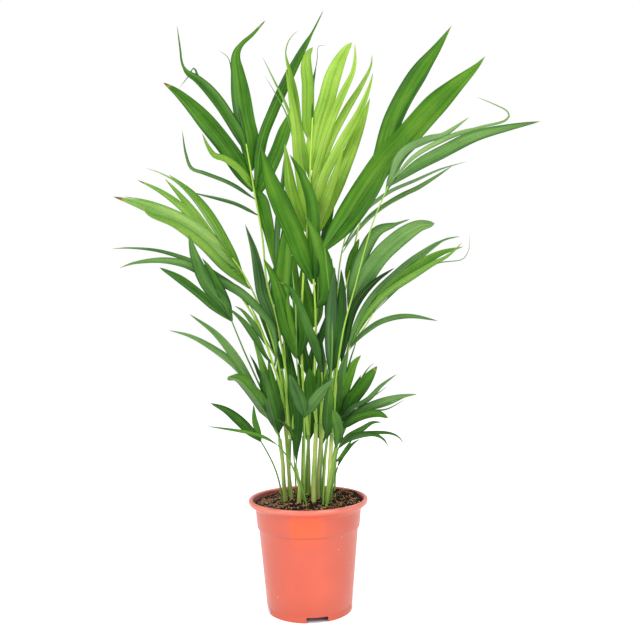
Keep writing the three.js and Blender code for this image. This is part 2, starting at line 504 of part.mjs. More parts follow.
// A round stem along a curve, thinner towards its end. room widens it, and lengthens its foot.
function stem(curve, footRadius, topRadius, { sides, station }, room = 0) {
  const steps = Math.max(2, Math.round(curve.getLength() / station));
  const rings = [];
  for (let n = 0; n <= steps; n++) {
    const centre = curve.getPointAt(n / steps);
    const along = curve.getTangentAt(n / steps);
    if (n === 0) centre.addScaledVector(along, -room);
    const right = new THREE.Vector3(0, 1, 0).cross(along).normalize();
    const front = new THREE.Vector3().crossVectors(along, right);
    const radius = THREE.MathUtils.lerp(footRadius, topRadius, n / steps) + room;
    rings.push(
      Array.from({ length: sides }, (_, side) => {
        const angle = (side / sides) * 2 * Math.PI;
        return centre
          .clone()
          .addScaledVector(right, radius * Math.cos(angle))
          .addScaledVector(front, radius * Math.sin(angle));
      }),
    );
  }
  return loft(rings);
}

// Leaflet width along its length, as a share of its greatest width.
function leafletWidth(share) {
  const opened = THREE.MathUtils.smoothstep(share, 0, LEAFLET.opening);
  const opening = THREE.MathUtils.lerp(LEAFLET.foot, 1, opened);
  const closing = Math.pow(1 - share, LEAFLET.closing) * LEAFLET.fullness;
  return Math.min(opening, closing, 1);
}

// A leaflet: a long blade folded along its midrib, from its foot on the stalk to its pointed tip.
function leaflet(frond, curve, [width, turn, reach, ...places]) {
  const [foot, stalkShare] = nearestOnStalk(curve, places[0]);
  const lead = frond.reach * stalkShare * stalkShare;
  const flat = flatCurve(places);
  const length = flat.getLength();
  const stations = Math.round(length / LEAFLET.station);
  const steps = THREE.MathUtils.clamp(stations, LEAFLET.fewest, LEAFLET.most);
  const offLane = foot.y - frond.lane * fan(...places[0]) - lead;
  const centres = [];
  for (let n = 0; n <= steps; n++) {
    const share = n / steps;
    const at = flat.getPointAt(share);
    const joined = 1 - THREE.MathUtils.smoothstep(share, 0, LEAFLET.joined);
    const lane = frond.lane * fan(at.x, at.z);
    const bend = THREE.MathUtils.lerp(lead, reach, share * share);
    centres.push(place(at.x, at.z, lane + offLane * joined + bend));
  }
  centres[0] = foot;
  const line = smoothCurve(centres);
  const rings = [];
  for (let n = 0; n < steps; n++) {
    const share = n / steps;
    const centre = line.getPoint(share);
    const along = line.getTangent(share);
    const half = Math.max(0.5 * width * leafletWidth(share), LEAFLET.least);
    const across = new THREE.Vector3(0, 1, 0).cross(along).normalize();
    across.applyAxisAngle(along, THREE.MathUtils.degToRad(turn));
    const face = new THREE.Vector3().crossVectors(along, across);
    const fold = half * LEAFLET.fold;
    rings.push([
      centre.clone().addScaledVector(across, half).addScaledVector(face, fold),
      centre.clone().addScaledVector(face, LEAFLET.thickness / 2),
      centre.clone().addScaledVector(across, -half).addScaledVector(face, fold),
      centre.clone().addScaledVector(face, -LEAFLET.thickness / 2),
    ]);
  }
  rings.push([centres[steps]]);
  return loft(rings);
}

// The point of a stalk that looks nearest to a place of the front elevation, and its share of
// the stalk's length.
function nearestOnStalk(curve, [x, z]) {
  const samples = 60;
  let best = [curve.getPointAt(0), 0];
  let least = Infinity;
  for (let n = 0; n <= samples; n++) {
    const point = curve.getPointAt(n / samples);
    const off = point.distanceTo(place(x, z, point.y));
    if (off < least) {
      least = off;
      best = [point, n / samples];
    }
  }
  return best;
}

// ---- Pot ----

function pot() {
  const { height, rimRadius, wall, footHeight, footRadius, floor } = POT;
  const footInside = footRadius - POT.bevel - POT.footWidth;
  const outline = [
    [0, footHeight],
    [footInside + POT.draft, footHeight],
    [footInside, 0],
    [footInside + POT.footWidth, 0],
    [footRadius, POT.bevel],
    [footRadius + POT.draft / 2, footHeight - POT.bevel],
    [POT.bodyFoot, footHeight + POT.bevel],
    [POT.bodyTop, STEP - POT.stepUnder],
    [POT.collarFoot, STEP + POT.stepOver],
    [POT.collarTop, height - LIP.foot],
    [rimRadius - LIP.edge / 2, height - LIP.under],
    [rimRadius, height - LIP.edge],
    [rimRadius, height - LIP.round],
    [rimRadius - LIP.round, height],
    [rimRadius - LIP.roll, height - LIP.top],
    [POT.collarTop + LIP.lean, height - LIP.inside],
    [POT.collarTop - wall, height - LIP.footInside],
    [POT.collarFoot - wall, STEP + POT.stepOver],
    [POT.bodyTop - wall, STEP - POT.stepInside],
    [POT.bodyFoot - wall, footHeight + floor],
    [0, footHeight + floor],
  ];
  const turned = new THREE.LatheGeometry(
    outline.map(([radius, z]) => new THREE.Vector2(radius, z)),
    POT.segments,
  ).rotateX(Math.PI / 2);
  let body = solidOf(turned);
  for (let n = 0; n < NOTCH.count; n++) {
    const notch = new THREE.BoxGeometry(NOTCH.width, NOTCH.depth, NOTCH.height * 2);
    notch.translate(0, -footRadius, 0);
    notch.rotateZ(THREE.MathUtils.degToRad(NOTCH.firstAngle + 90 + (n * 360) / NOTCH.count));
    body = body.subtract(solidOf(notch));
  }
  for (let n = 0; n < DRAIN.count; n++) {
    const angle = (n / DRAIN.count) * 2 * Math.PI;
    const hole = new THREE.CylinderGeometry(DRAIN.radius, DRAIN.radius, 3 * floor, DRAIN.sides);
    hole.rotateX(Math.PI / 2);
    hole.translate(DRAIN.circle * Math.cos(angle), DRAIN.circle * Math.sin(angle), footHeight);
    body = body.subtract(solidOf(hole));
  }
  return body;
}

// ---- Potting soil ----

// Inner radius of the pot's wall at a height.
function wallRadius(z) {
  const { bodyFoot, bodyTop, collarFoot, collarTop, stepInside, stepOver, wall } = POT;
  const { mapLinear } = THREE.MathUtils;
  const foot = POT.footHeight + POT.floor;
  if (z < STEP) return mapLinear(z, foot, STEP - stepInside, bodyFoot, bodyTop) - wall;
  return mapLinear(z, STEP + stepOver, POT.height - LIP.footInside, collarFoot, collarTop) - wall;
}

function soilTop(x, y) {
  const out = Math.hypot(x, y) / POT.collarTop;
  let lumps = 0;
  for (const [alongX, alongY] of LUMPS) lumps += Math.sin(x * alongX + y * alongY);
  const mound = SOIL.mound * (1 - out * out);
  return SOIL.level + mound + SOIL.lump * lumps + SOIL.tilt * (x + y) * out;
}

function soil() {
  const foot = POT.footHeight + POT.floor + SOIL.clearance;
  const levels = [foot, STEP - POT.stepInside, STEP + POT.stepOver, SOIL.level - SOIL.edgeDrop];
  const outline = [[0, foot]];
  for (const z of levels) outline.push([wallRadius(z) - SOIL.clearance, z]);
  const edge = outline.at(-1)[0];
  for (let ring = 0; ring <= SOIL.rings; ring++) outline.push([edge * (1 - ring / SOIL.rings), SOIL.level]);
  const turned = new THREE.LatheGeometry(
    outline.map(([radius, z]) => new THREE.Vector2(radius, z)),
    POT.segments,
  ).rotateX(Math.PI / 2);
  const position = turned.getAttribute("position");
  for (let n = 0; n < position.count; n++) {
    if (position.getZ(n) > SOIL.level - 1) {
      position.setZ(n, soilTop(position.getX(n), position.getY(n)));
    }
  }
  return solidOf(turned);
}

// ---- The plant in its pot ----

const plant = new THREE.Group();

function add(name, solid, material) {
  const mesh = new THREE.Mesh(geometryOf(solid), material);
  mesh.name = name;
  plant.add(mesh);
}

const holes = []; // what the soil leaves free for the canes and stalks that stand in it
const tops = new Map(); // where each cane ends, and its direction there

for (const [name, [footRadius, topRadius, ...places]] of Object.entries(CANES)) {
  const curve = smoothCurve(places.map((at) => place(...at)));
  add(name, solidOf(stem(curve, footRadius, topRadius, CANE)), finish(caneGreen, 0.5));
  holes.push(solidOf(stem(curve, footRadius, topRadius, CANE, SOIL.clearance)));
  tops.set(name, { at: places.at(-1), along: curve.getTangentAt(1) });
}

// The first two places and the depth of a stalk that stands on a cane, beside the cane's other
// stalks. It starts in line with the cane.
function footing(frond) {
  const { at, along } = tops.get(frond.cane);
  const carried = FRONDS.filter((other) => other.cane === frond.cane).length;
  const apart = carried < 2 ? 0 : (STALK.foot + GAP / 2) / Math.sin(Math.PI / carried);
  const seat = THREE.MathUtils.degToRad(frond.seat);
  const [x, z, y] = at;
  const places = [STALK.rise, STALK.rise + STALK.straight].map((rise) => [
    x + apart * Math.cos(seat) + rise * along.x,
    z + rise * along.z,
  ]);
  return { places, depth: y + apart * Math.sin(seat) };
}

for (const frond of FRONDS) {
  let places = frond.stalk;
  let depth = frond.foot;
  if (frond.cane) {
    const footed = footing(frond);
    places = [...footed.places, ...places];
    depth = footed.depth;
  }
  const curve = stalkCurve(frond, depth, places);
  let solid = solidOf(stem(curve, STALK.foot, STALK.tip, STALK));
  for (const blade of frond.leaflets) solid = solid.add(solidOf(leaflet(frond, curve, blade)));
  add(frond.name, solid, finish(leafGreen, 0.4));
  if (!frond.cane) {
    holes.push(solidOf(stem(curve, STALK.foot, STALK.tip, STALK, SOIL.clearance)));
  }
}

add("pot", pot(), finish(plastic, 0.35));
let bed = soil();
for (const hole of holes) bed = bed.subtract(hole);
add("potting_soil", bed, finish(earth, 0.95));

export default plant;
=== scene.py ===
import math

import bmesh
import bpy
import numpy as np
from mathutils import Matrix, Vector


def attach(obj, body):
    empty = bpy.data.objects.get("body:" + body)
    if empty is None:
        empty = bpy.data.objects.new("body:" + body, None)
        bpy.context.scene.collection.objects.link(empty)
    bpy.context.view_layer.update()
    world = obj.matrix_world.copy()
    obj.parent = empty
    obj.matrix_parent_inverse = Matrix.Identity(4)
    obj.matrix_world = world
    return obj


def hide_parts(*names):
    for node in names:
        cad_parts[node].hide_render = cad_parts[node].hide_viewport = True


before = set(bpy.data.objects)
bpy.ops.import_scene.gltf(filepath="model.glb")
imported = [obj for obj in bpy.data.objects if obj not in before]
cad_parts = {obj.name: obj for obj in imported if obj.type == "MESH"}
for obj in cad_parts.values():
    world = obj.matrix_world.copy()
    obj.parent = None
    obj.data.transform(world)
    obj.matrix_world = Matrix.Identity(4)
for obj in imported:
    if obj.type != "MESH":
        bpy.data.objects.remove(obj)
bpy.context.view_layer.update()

M = 0.001
DEPTH = np.array([0, 1, 0])


def add_object(name, data):
    made = bpy.data.objects.new(name, data)
    bpy.context.scene.collection.objects.link(made)
    return made


# ---- Camera: the photograph's view ----

EYE = np.array([20.5, -1050, 385])
CAMERA_PITCH = 1.4  # degrees above the horizon
CAMERA_ROLL = -0.82
FOCAL_PIXELS = 727
IMAGE_PIXELS = 640
SENSOR = 36

camera_data = bpy.data.cameras.new("camera")
camera_data.sensor_width = SENSOR
camera_data.lens = SENSOR * FOCAL_PIXELS / IMAGE_PIXELS
camera = add_object("camera", camera_data)
camera.matrix_world = (
    Matrix.Translation(Vector(EYE * M))
    @ Matrix.Rotation(math.radians(90 + CAMERA_PITCH), 4, "X")
    @ Matrix.Rotation(math.radians(CAMERA_ROLL), 4, "Z")
)
bpy.context.scene.camera = camera

# ---- The plant's places, the same as the CAD model's ----


def read_row(words):
    """The plain numbers of a row and its places, whose numbers are joined by commas."""
    numbers = [float(word) for word in words if "," not in word]
    places = [[float(part) for part in word.split(",")] for word in words if "," in word]
    return numbers, places


# A cane's row: its number, its radius at the foot and at the top, its tone from green to pale,
# how dry and brown it is, and its places x,z,y from where it is buried to its top.
CANES = {}
for row in """
01 3.3 2.8 .62 .2 -31,120,-10 -33,157,-10 -35,180,-10 -36,205,-11 -40,240,-12
02 2.7 3 .58 .14 -22,120,-3 -24,158,-3 -27,185,-3 -30,240,-3 -34,283,-3
03 3.5 2.7 .7 .16 -13,120,-31 -13,155,-31 -12,172,-31 -15,186,-31 -17,197,-31
04 3 2.6 .35 .3 -8,120,-14 -8,160,-14 -7,200,-15 -6,225,-15 -5,244,-16
05 4 3 .62 .16 7,120,-29 8,155,-29 8,180,-29 10,210,-28 13,262,-26
06 2.8 2.5 .75 .1 14,120,-18 14,157,-18 14,185,-18 17,215,-18 21,262,-18
07 2.1 2.1 .5 .15 0,120,6 1,158,6 2,200,5 1,245,4
08 2 2.1 .5 .1 20,120,-5 20,160,-5 22,182,-6 24,205,-7 28,236,-8
09 2.9 3 .85 .22 26,120,-31 27,157,-31 30,178,-31 32,205,-31 35,246,-31
10 2.4 2.5 .65 .1 32,120,-17 32,160,-17 34,190,-18 38,215,-19 42,232,-20
11 2.6 2.5 .25 .1 -25,120,20 -27,160,20 -27,200,22 -25,240,24
12 2.7 2.5 .2 .2 -5,120,27 -3,160,27 -1,200,30 2,240,33
13 2.5 2.6 .25 .1 17,120,15 17,160,15 18,200,16 20,240,18
""".strip().split("\n"):
    cane_number, *words = row.split()
    CANES[cane_number] = read_row(words)

# A frond's rows end in semicolons. The first one: its number; its cane, and in degrees where its
# stalk stands on that, or else the soil, and its foot's depth; its lane, which is its depth, how
# far its end leaves that, and its stalk's tone. The second row: its stalk's places x,z in the
# front elevation. Then a row for each leaflet: its width, its turn about its midrib, how far its
# tip leaves the lane, its look unless it's that of the leaflet before it, and its places. A look
# is its tone from dark to bright green, how much painted silvery sheen it has, how dry at its tip,
# and if it's unusual, the share of its length at which it begins to narrow, how rounded it ends,
# the share that is a thin tail and the width of that tail.
FRONDS = []
for rows in """
01 soil -20 -66 0 .2; -36,120 -38,158 -43,185 -50,205 -60,225 -67,237;
15 15 -60 .3 .12 .1 .45 -67,237 -73,243 -82,252 -97,267 -117,283 -139,293;
10 -20 10 .36 .05 .1 -67,237 -71,250 -76,268 -77,290

02 soil -38 -76 0 .3; -2,120 -4,156 -14,180 -22,200 -31,218 -42,231;
5.5 10 -50 .46 .05 .3 .35 -42,231 -60,242 -80,249 -100,253 -125,257 -145,260

03 01 -90 -50 -20 .4; -42,248 -50,262 -58,275;
25 -25 -110 .375 0 0 .78 1 -50,263 -58,277 -67,291 -76,304 -86,316 -96,326 -113,331;
14 20 -20 .46 .45 .1 -58,275 -69,297 -80,318 -100,355 -130,393 -168,422;
12 -15 20 .44 .48 .2 -58,275 -75,308 -98,342 -135,372 -167,390 -198,399;
17 25 10 .44 .12 .1 -42,248 -47,280 -54,315 -62,342 -68,362 -76,381;
20 -20 -60 .3 .16 0 .7 .9 -42,248 -47,268 -53,290 -58,310 -61,326 -62,338;
17 20 0 .25 .04 .1 -42,248 -38,262 -40,281 -45,301 -50,327 -55,355

04 01 90 -14 0 .2; -43,256 -50,275 -58,295 -70,322 -80,345 -90,368 -107,411;
24 -20 15 .38 .28 .2 .55 .6 -107,411 -119,436 -133,452 -146,470 -161,508 -168,537;
14 25 -25 .32 .16 .3 .7 .6 -107,411 -121,423 -135,435 -148,447 -178,471 -192,480 -211,490;
14 10 0 .26 .1 .1 -107,411 -112,430 -120,450 -130,472 -140,490 -149,503;
6 10 10 .22 .1 .1 -57,306 -62,319 -68,333 -74,348 -82,363

05 02 -90 4 0 .8; -37,312 -43,332 -49,350 -57,375 -67,400 -77,419 -85,434 -93,446;
17 20 -15 .4 .4 .3 .6 -46,342 -43,360 -43,378 -48,400 -57,415 -70,431 -84,445 -98,456 -114,465
  -127,471 -143,480 -161,490 -176,496 -208,501 -249,497 -269,490;
8 -10 75 .34 .3 .5 -80,420 -86,440 -100,460 -125,477 -150,492 -184,506 -216,515 -256,519 -280,518;
12 25 -25 .34 .3 .1 -48,347 -60,362 -70,381 -80,397 -90,410 -101,421 -113,431;
9 -10 -20 .32 .35 .1 -56,372 -65,388 -74,403 -84,417 -93,427 -103,433

06 02 150 22 0 .7; -35,312 -41,350 -47,375 -54,400 -61,418 -69,437 -77,455 -90,480 -105,502;
25 15 -20 .69 .3 .9 .6 .4 -92,480 -125,516 -155,542 -190,563 -240,583 -277,594;
16 -15 -20 .64 .1 .6 -80,456 -118,490 -150,524 -190,553 -226,568 -238,584;
7 10 15 .68 .1 .8 -105,502 -140,541 -170,562 -210,581 -235,589 -262,594;
14 15 10 .66 .1 .8 -105,502 -128,522 -150,549 -180,580 -210,602 -242,618;
17 -10 20 .64 .08 .5 -92,480 -112,496 -138,535 -165,575 -185,600 -202,619;
17 20 30 .58 .06 .4 .6 .6 -80,456 -91,473 -109,513 -134,560 -162,597 -196,625;
5 0 40 .6 .3 .4 -105,502 -135,550 -160,588 -185,614 -212,629 -230,635;
3 0 -8 .92 0 0 .7 -41,350 -51,370 -59,384 -64,397 -69,410 -76,425 -84,440

07 02 30 38 0 .8; -29,312 -31,345 -36,377 -41,407 -48,435 -55,462 -58,490 -61,530 -66,563 -71,592
  -83,668;
20 -25 30 .33 .05 .6 .5 .4 .32 -80,650 -95,684 -109,709 -122,729 -141,752 -156,766 -168,774 -175,787
  -178,810 -182,843;
32 15 -10 .35 .03 .6 .56 .6 -72,600 -84,622 -118,674 -158,722 -184,747 -203,760;
33 5 20 .37 .03 .6 .45 .1 .25 -77,630 -79,676 -84,699 -89,731 -92,754 -95,778 -97,792 -95,804
  -87,816 -73,828 -53,849;
6 0 30 .3 .25 .6 .4 .3 .2 -83,668 -97,740 -103,775 -108,795 -121,806;
6 10 60 .22 .2 .5 -80,650 -105,695 -135,740 -152,768 -158,781 -166,769 -180,751;
7 10 20 .3 .35 .4 -70,587 -105,610 -145,627 -163,634 -171,655 -176,690;
6 -10 20 .34 .35 .4 -67,563 -80,571 -100,581 -130,590 -150,595 -166,600;
12 0 -30 .66 .02 .3 -72,600 -92,630 -115,648 -129,652 -140,668 -147,685;
25 -15 -20 .36 .02 .1 .72 .6 -71,592 -62,612 -51,632 -40,655 -30,682 -17,716;
19 20 -10 .3 .55 .1 .5 .4 -40,395 -46,407 -54,428 -62,449 -67,481 -74,515 -86,551;
24 15 5 .42 0 0 .4 .4 -72,602 -64,588 -58,566 -53,543 -49,518 -44,485;
17 10 -13 .38 .04 .3 .62 .5 .16 .22 -71,592 -66,625 -64,650 -57,682 -44,714 -33,739 -18,770 -8,789
  0,804 15,830 32,863

08 11 -90 26 0 .9; -28,270 -30,330 -33,390 -40,440 -44,475;
10 0 0 .38 .5 .1 -44,475 -42,505 -40,535 -36,575 -31,610 -28,640 -25,665;
12 20 25 .34 .1 .1 -44,475 -36,500 -30,530 -24,565 -20,600

09 04 0 10 0 .5; -6,270 -9,300 -12,330 -14,356;
27 20 -15 .34 .03 .1 .5 .4 -14,356 -18,372 -23,390 -28,408 -33,431 -38,452 -47,477 -60,501;
28 -20 18 .42 0 .1 .75 .6 -14,356 -22,385 -31,415 -36,445 -34,476 -31,505 -28,530 -24,555;
22 -20 -15 .34 .03 .1 .6 .6 -14,356 -8,372 -5,392 -7,412 -12,434 -19,458;
3 0 -20 .7 .3 0 .7 -14,356 -14,380 -14,405 -14,430 -16,455 -19,485

10 05 90 -12 0 .8; 13,280 12,310 12,335 14,395 14,430 12,470;
31 15 -15 .43 0 .1 .6 .4 13,463 7,482 -2,503 -15,538 -25,561 -35,585 -46,610 -53,632 -62,665;
22 -20 15 .31 0 .1 .55 .5 13,466 14,485 14,510 13,535 12,560 9,585 3,606 -4,624 -12,638 -20,652;
26 -20 -15 .4 .03 .1 .5 .4 14,430 25,440 29,453 30,470 28,489 23,507 17,525 11,542 2,563

11 07 0 15 0 .95; -2,280 -6,340 -7,400 -5,440 -2,483 4,545 8,590 10,640 14,705;
10 0 10 .7 0 .5 .6 .4 .22 9,615 -5,690 -10,733 -14,755 -18,772 -22,788 -24,801 -21,815 -15,825
  -6,833;
18 15 -10 .82 0 .2 5,560 -1,600 -6,640 -10,690 -17,738 -24,778;
20 -10 10 .76 0 .2 .75 .8 12,670 8,690 7,707 7,732 7,758 5,782 8,799 16,809;
6 20 30 .32 .02 .2 .5 .4 .4 13,690 14,725 15,754 19,775 22,792 24,810 35,811;
27 10 0 .82 0 .2 .7 .8 10,630 22,690 35,732 42,758 48,775 56,792 64,805 73,815;
13 -15 -15 .84 0 .2 .65 .5 8,590 35,685 57,738 73,771 77,792 77,813;
13 15 15 .84 0 .2 .6 .5 6,570 37,665 63,715 85,750 100,780 102,797;
16 -10 -10 4,545 32,625 55,667 82,713 98,752 103,770;
22 10 20 4,520 17,545 33,575 48,606 64,645 85,695 98,733;
16 0 -20 .84 0 .2 2,512 11,535 24,565 36,597 49,632 60,668;
20 10 10 .8 0 .2 3,540 -9,565 -18,600 -23,635 -27,668;
5 0 15 .62 .15 .2 9,615 -8,665 -22,718 -42,762 -58,796;
3 0 20 .5 .2 .2 5,600 -10,650 -18,690 -25,713 -40,742 -55,768

12 08 0 -24 0 .4; 31,280 34,320 37,360 38,400 36,440 32,480 29,515;
31 -15 12 .38 0 .3 .76 .1 29,515 58,548 86,585 105,620 115,650 122,678 130,702 144,730 160,756
  177,781 195,804 219,838;
36 20 -20 .48 0 .3 .72 .2 29,515 62,560 94,608 121,645 143,667 166,692 189,717 224,750 255,778
  267,792;
21 15 -8 .25 .6 .1 36,335 38,355 37,385 38,418 40,455 43,487;
20 -20 5 .17 .16 .1 37,338 42,365 47,395 51,425 53,455 52,484

13 09 -90 -60 0 .72; 37,282 39,300 46,350 55,400 70,452 85,505 100,553 122,603;
13 -20 15 .5 .65 .2 122,603 125,615 129,626 136,643 148,657 166,666 185,673 203,677 216,685 242,703;
7 20 20 .6 .5 .1 .3 .5 .5 .62 122,603 140,625 157,643 179,658 199,668 220,677 259,688 294,697
  300,704 297,711 283,719 254,732;
18 10 -25 .4 .4 .3 122,603 166,634 201,652 250,675 300,687 345,695;
12 -15 10 .4 .55 .2 118,594 128,618 139,640 155,655 170,664

14 13 -150 12 0 .75; 20,280 28,340 37,390 45,430 47,460 50,490 55,515 63,545;
6 10 20 .52 .75 .3 55,515 90,570 110,586 127,597 163,612 198,627 237,638;
8 -10 -20 .5 .45 .3 .7 55,515 95,560 125,581 145,592 163,600 189,615 216,632;
5 0 40 .54 .8 .3 60,535 76,562 95,585 108,600 118,612;
5 15 30 63,545 73,570 84,590 95,612 105,632;
4 0 -30 53,505 70,532 92,555 120,575 150,590

15 13 -30 3 0 .95; 28,280 38,350 46,410 53,440 60,462 72,518 86,572 98,610;
13 -10 -10 .4 .04 .1 .6 .7 60,462 63,480 68,500 74,516 79,528;
5 0 10 .5 .3 .1 94,598 104,618 112,632

16 09 150 -6 0 .8; 35,290 39,330 48,372 55,398 63,425;
20 15 10 .46 .45 .2 .6 .5 .14 63,425 72,468 86,508 106,538 130,547 153,555;
28 -15 -15 .5 .45 .2 .72 .9 63,425 80,460 109,503 130,523 143,533 156,541 168,546 189,548

17 09 30 -20 0 .9; 41,300 47,330 55,356 65,373 76,388 88,404 98,420;
16 15 10 .47 .48 .4 .55 .5 .14 58,362 76,405 102,445 135,476 166,501 202,524 225,529;
15 -10 10 .56 .08 .5 .6 .4 98,420 108,446 124,461 140,473 161,486 196,505 230,514;
13 20 -20 .66 .15 .4 65,373 86,412 108,438 124,452 156,472 188,491 204,499 217,509 228,520;
3 0 20 .42 .5 .6 .3 .5 98,420 150,468 190,490 212,493 223,494 230,497 235,504 238,512 239,532;
14 0 8 .1 .02 .2 50,347 58,392 67,422 78,441 92,457 107,470 130,485;
9 25 -60 .36 .42 .2 .6 58,362 76,384 92,397 107,406 131,413 155,414 191,407

18 10 90 -43 0 .5; 43,245 44,258 45,270;
18 15 0 .41 0 .3 .6 .6 45,270 49,288 53,305 64,337 71,350 79,359;
14 15 -6 .34 .35 .2 .6 .6 45,270 51,300 51,322 53,341 61,368;
20 -20 -10 .26 .02 .7 .65 .6 45,270 54,282 70,302 87,324 102,343;
4 0 10 .3 .35 .3 45,270 65,300 77,320 85,335 91,342 98,348;
9 0 15 .25 .05 .2 45,270 55,286 62,300 69,313 79,331;
3 0 -5 45,270 54,318 62,348 70,372 79,398

19 10 -90 -53 -15 .5; 44,250 46,262;
9 15 -10 .38 .5 .2 46,262 62,281 88,295 108,315 130,331;
12 -10 -30 .38 .52 .2 46,262 70,276 100,289 130,298 159,302;
3 0 10 .38 .5 .2 46,262 70,284 92,297 117,314;
13 10 -60 .36 .06 .2 .7 .6 44,250 56,259 68,267 84,273 96,275 105,274 117,268;
3 0 30 .3 .35 .2 46,262 85,278 115,281 142,295;
3 0 -30 44,250 62,262 90,271 101,276;
5 0 0 46,262 75,277 118,288 146,300

20 soil -26 -62 -10 .4; 30,120 33,158 36,180 39,205 44,225;
10 10 -20 .38 .16 .2 44,225 58,241 78,252 94,262 107,262;
7 -15 -90 .3 .32 .2 .35 44,225 62,242 90,247 120,246 132,240 139,230;
7 0 -110 .3 .25 .2 44,225 60,238 92,245 105,241 112,235 116,227;
6 0 10 .4 .04 .1 39,205 47,212 54,222 65,240

21 soil -8 -14 0 .2; 30,120 34,160 36,176 39,189 43,199;
6 0 -20 .28 .1 .2 43,199 49,213 56,222 64,231 76,239

22 soil -26 -62 0 .55; -7,120 -6,160 -5,200 -4,240 -4,270;
22 -20 -25 .31 .32 .1 .55 .6 -4,270 -8,285 -13,300 -18,314 -25,333;
18 20 -30 .36 .46 .1 .55 .6 -4,270 4,284 14,297 26,311 41,327

23 soil -42 -74 0 .5; 25,120 28,160 33,190 37,212 41,226;
17 25 -30 .38 .1 .1 .7 .8 41,226 45,238 46,250 43,265 37,281

24 03 0 -40 0 .4; -16.5,203 -16,208;
15 10 0 .16 .06 .2 -16,208 -16,228 -14,248 -13,270 -16,295 -22,350;
7 -15 -20 .2 .12 .4 -16,208 -18,235 -23,250 -37,265 -46,270;
6 0 -8 .78 0 .4 -16,208 -17,235 -21,258 -20,276

25 05 -90 -25 0 .85; 12,270 10,280;
22 10 -10 .27 .04 .1 .6 .6 10,280 8,300 6,320 4,342;
10 -15 5 10,280 14,300 18,340 21,362

26 06 0 -43 0 .85; 22,285 23,310 22,335;
17 20 -10 .28 .22 .6 .3 22,335 18,358 12,378 5,396 -5,425 -14,445 -24,459 -40,468;
10 -20 10 .34 .2 .1 23,310 27,322 30,336

27 11 90 60 60 .5; -27,280 -32,320 -38,360 -44,400 -47,430;
15 35 50 .28 .03 .2 -34,340 -47,380 -58,405 -71,430;
14 -35 50 -34,340 -28,385 -18,410 -8,425;
13 35 70 -40,380 -50,420 -54,450 -50,475;
13 -35 50 -40,380 -34,425 -22,455 -14,468;
12 40 80 -47,430 -46,460 -42,490 -36,510

28 12 90 82 64 .5; 2,280 2,330 0,370 -3,400 -6,425;
14 35 30 .3 .03 .2 2,330 -10,365 -24,390 -38,405;
14 -35 30 2,330 8,360 13,380 18,394;
13 35 40 .26 .03 .2 -1,385 -14,415 -26,435 -38,445;
20 -25 40 .38 0 .1 -1,385 6,410 11,432 14,460;
24 20 40 .34 0 .1 -6,425 -13,448 -17,478 -15,512

29 12 -90 55 30 .5; 5,290 10,340 15,400 18,450 18,490;
14 35 30 .26 .03 .2 8,320 -4,370 -14,400 -22,420;
14 -35 40 10,350 22,390 32,420 38,445;
24 25 40 .4 0 .1 15,400 5,435 -1,465 -3,500;
18 -25 60 .26 .03 .2 17,430 27,455 34,478 39,500;
12 35 60 18,490 12,520 6,545 0,560;
15 -15 40 .12 .02 .1 18,490 25,515 32,545 40,590 48,625 52,652;
17 15 60 .3 .02 .1 15,400 18,425 19,450 18,480

30 13 90 72 46 .5; 24,280 30,330 35,370 39,405 41,430;
14 35 40 .22 .03 .2 28,310 25,345 23,370 22,390;
14 -35 40 31,340 42,370 48,390 50,410;
13 35 55 36,380 33,410 31,430 30,448;
13 -35 62 39,405 46,430 50,450 50,470;
12 15 70 41,430 42,455 42,475 40,490

31 soil -40 -60 0 .5; 20,120 22,160 25,200 28,240;
18 -20 -20 .34 .14 .1 .7 .6 28,240 29,265 30,280 32,297 33,315

32 soil 38 96 0 .5; -16,120 -17,160 -19,200 -21,238;
21 15 0 .2 .04 .1 -21,238 -27,262 -33,292 -38,325 -42,356;
24 -15 10 .26 .04 .1 -21,238 -19,262 -20,292 -23,330 -29,387

33 soil 50 116 0 .5; 3,120 3,160 2,200 1,236;
20 15 0 .26 .04 .1 1,236 -3,262 -7,292 -9,325 -11,352;
20 -15 10 .2 .04 .1 1,236 6,260 9,290 9,325 7,354

34 soil 38 96 0 .5; 23,120 23,160 22,200 21,232;
19 15 0 .22 .04 .1 21,232 18,258 17,288 18,320 19,348;
18 -15 10 .28 .04 .1 21,232 26,256 31,285 33,318 33,347

35 soil 36 116 0 .5; 37,120 38,160 40,200 43,232;
18 10 0 .3 .04 .1 43,232 42,258 41,288 42,320 45,350;
18 -15 10 .42 .02 .1 43,232 49,256 54,283 58,310 61,335
""".strip().split("\n\n"):
    head, stalk_row, *leaflet_rows = [row.split() for row in rows.split(";")]
    frond = dict(name=head[0], carrier=head[1], stalk=read_row(stalk_row)[1], leaflets=[])
    frond.update(zip(("seat", "lane", "reach", "tone"), map(float, head[2:])))
    for row in leaflet_rows:
        numbers, places = read_row(row)
        look = numbers[3:] or look
        frond["leaflets"].append((*numbers[:3], look, places))
    FRONDS.append(frond)

SOIL_CENTRE = (0, 150)
FAN_START, FAN_NEAR, FAN_GROWTH = 0.35, 200, 0.0018
STALK_FOOT, STALK_RISE, STALK_STRAIGHT = 1.75, 0.7, 5
SETTLE = 150
GAP = 0.3
STALK_RADII = (1.7, 1.0)
THICK_STALKS = {
    "05": (2, 1.6), "06": (1.8, 1.4), "07": (1.9, 1.5), "10": (1.8, 1.5), "11": (2, 1.4),
    "13": (1.5, 0.9),
}
# The share of a leaflet's length in which it opens to its full width.
OPENING = 0.36
OPENINGS = {"03": 0.22, "05": 0.6, "07": 0.24, "10": 0.3, "11": 0.2, "12": 0.22, "16": 0.28}

# ---- Small geometry helpers ----


def smoothstep(value, low, high):
    share = np.clip((value - low) / (high - low), 0, 1)
    return share * share * (3 - 2 * share)


def lerp(low, high, share):
    return low + (high - low) * share


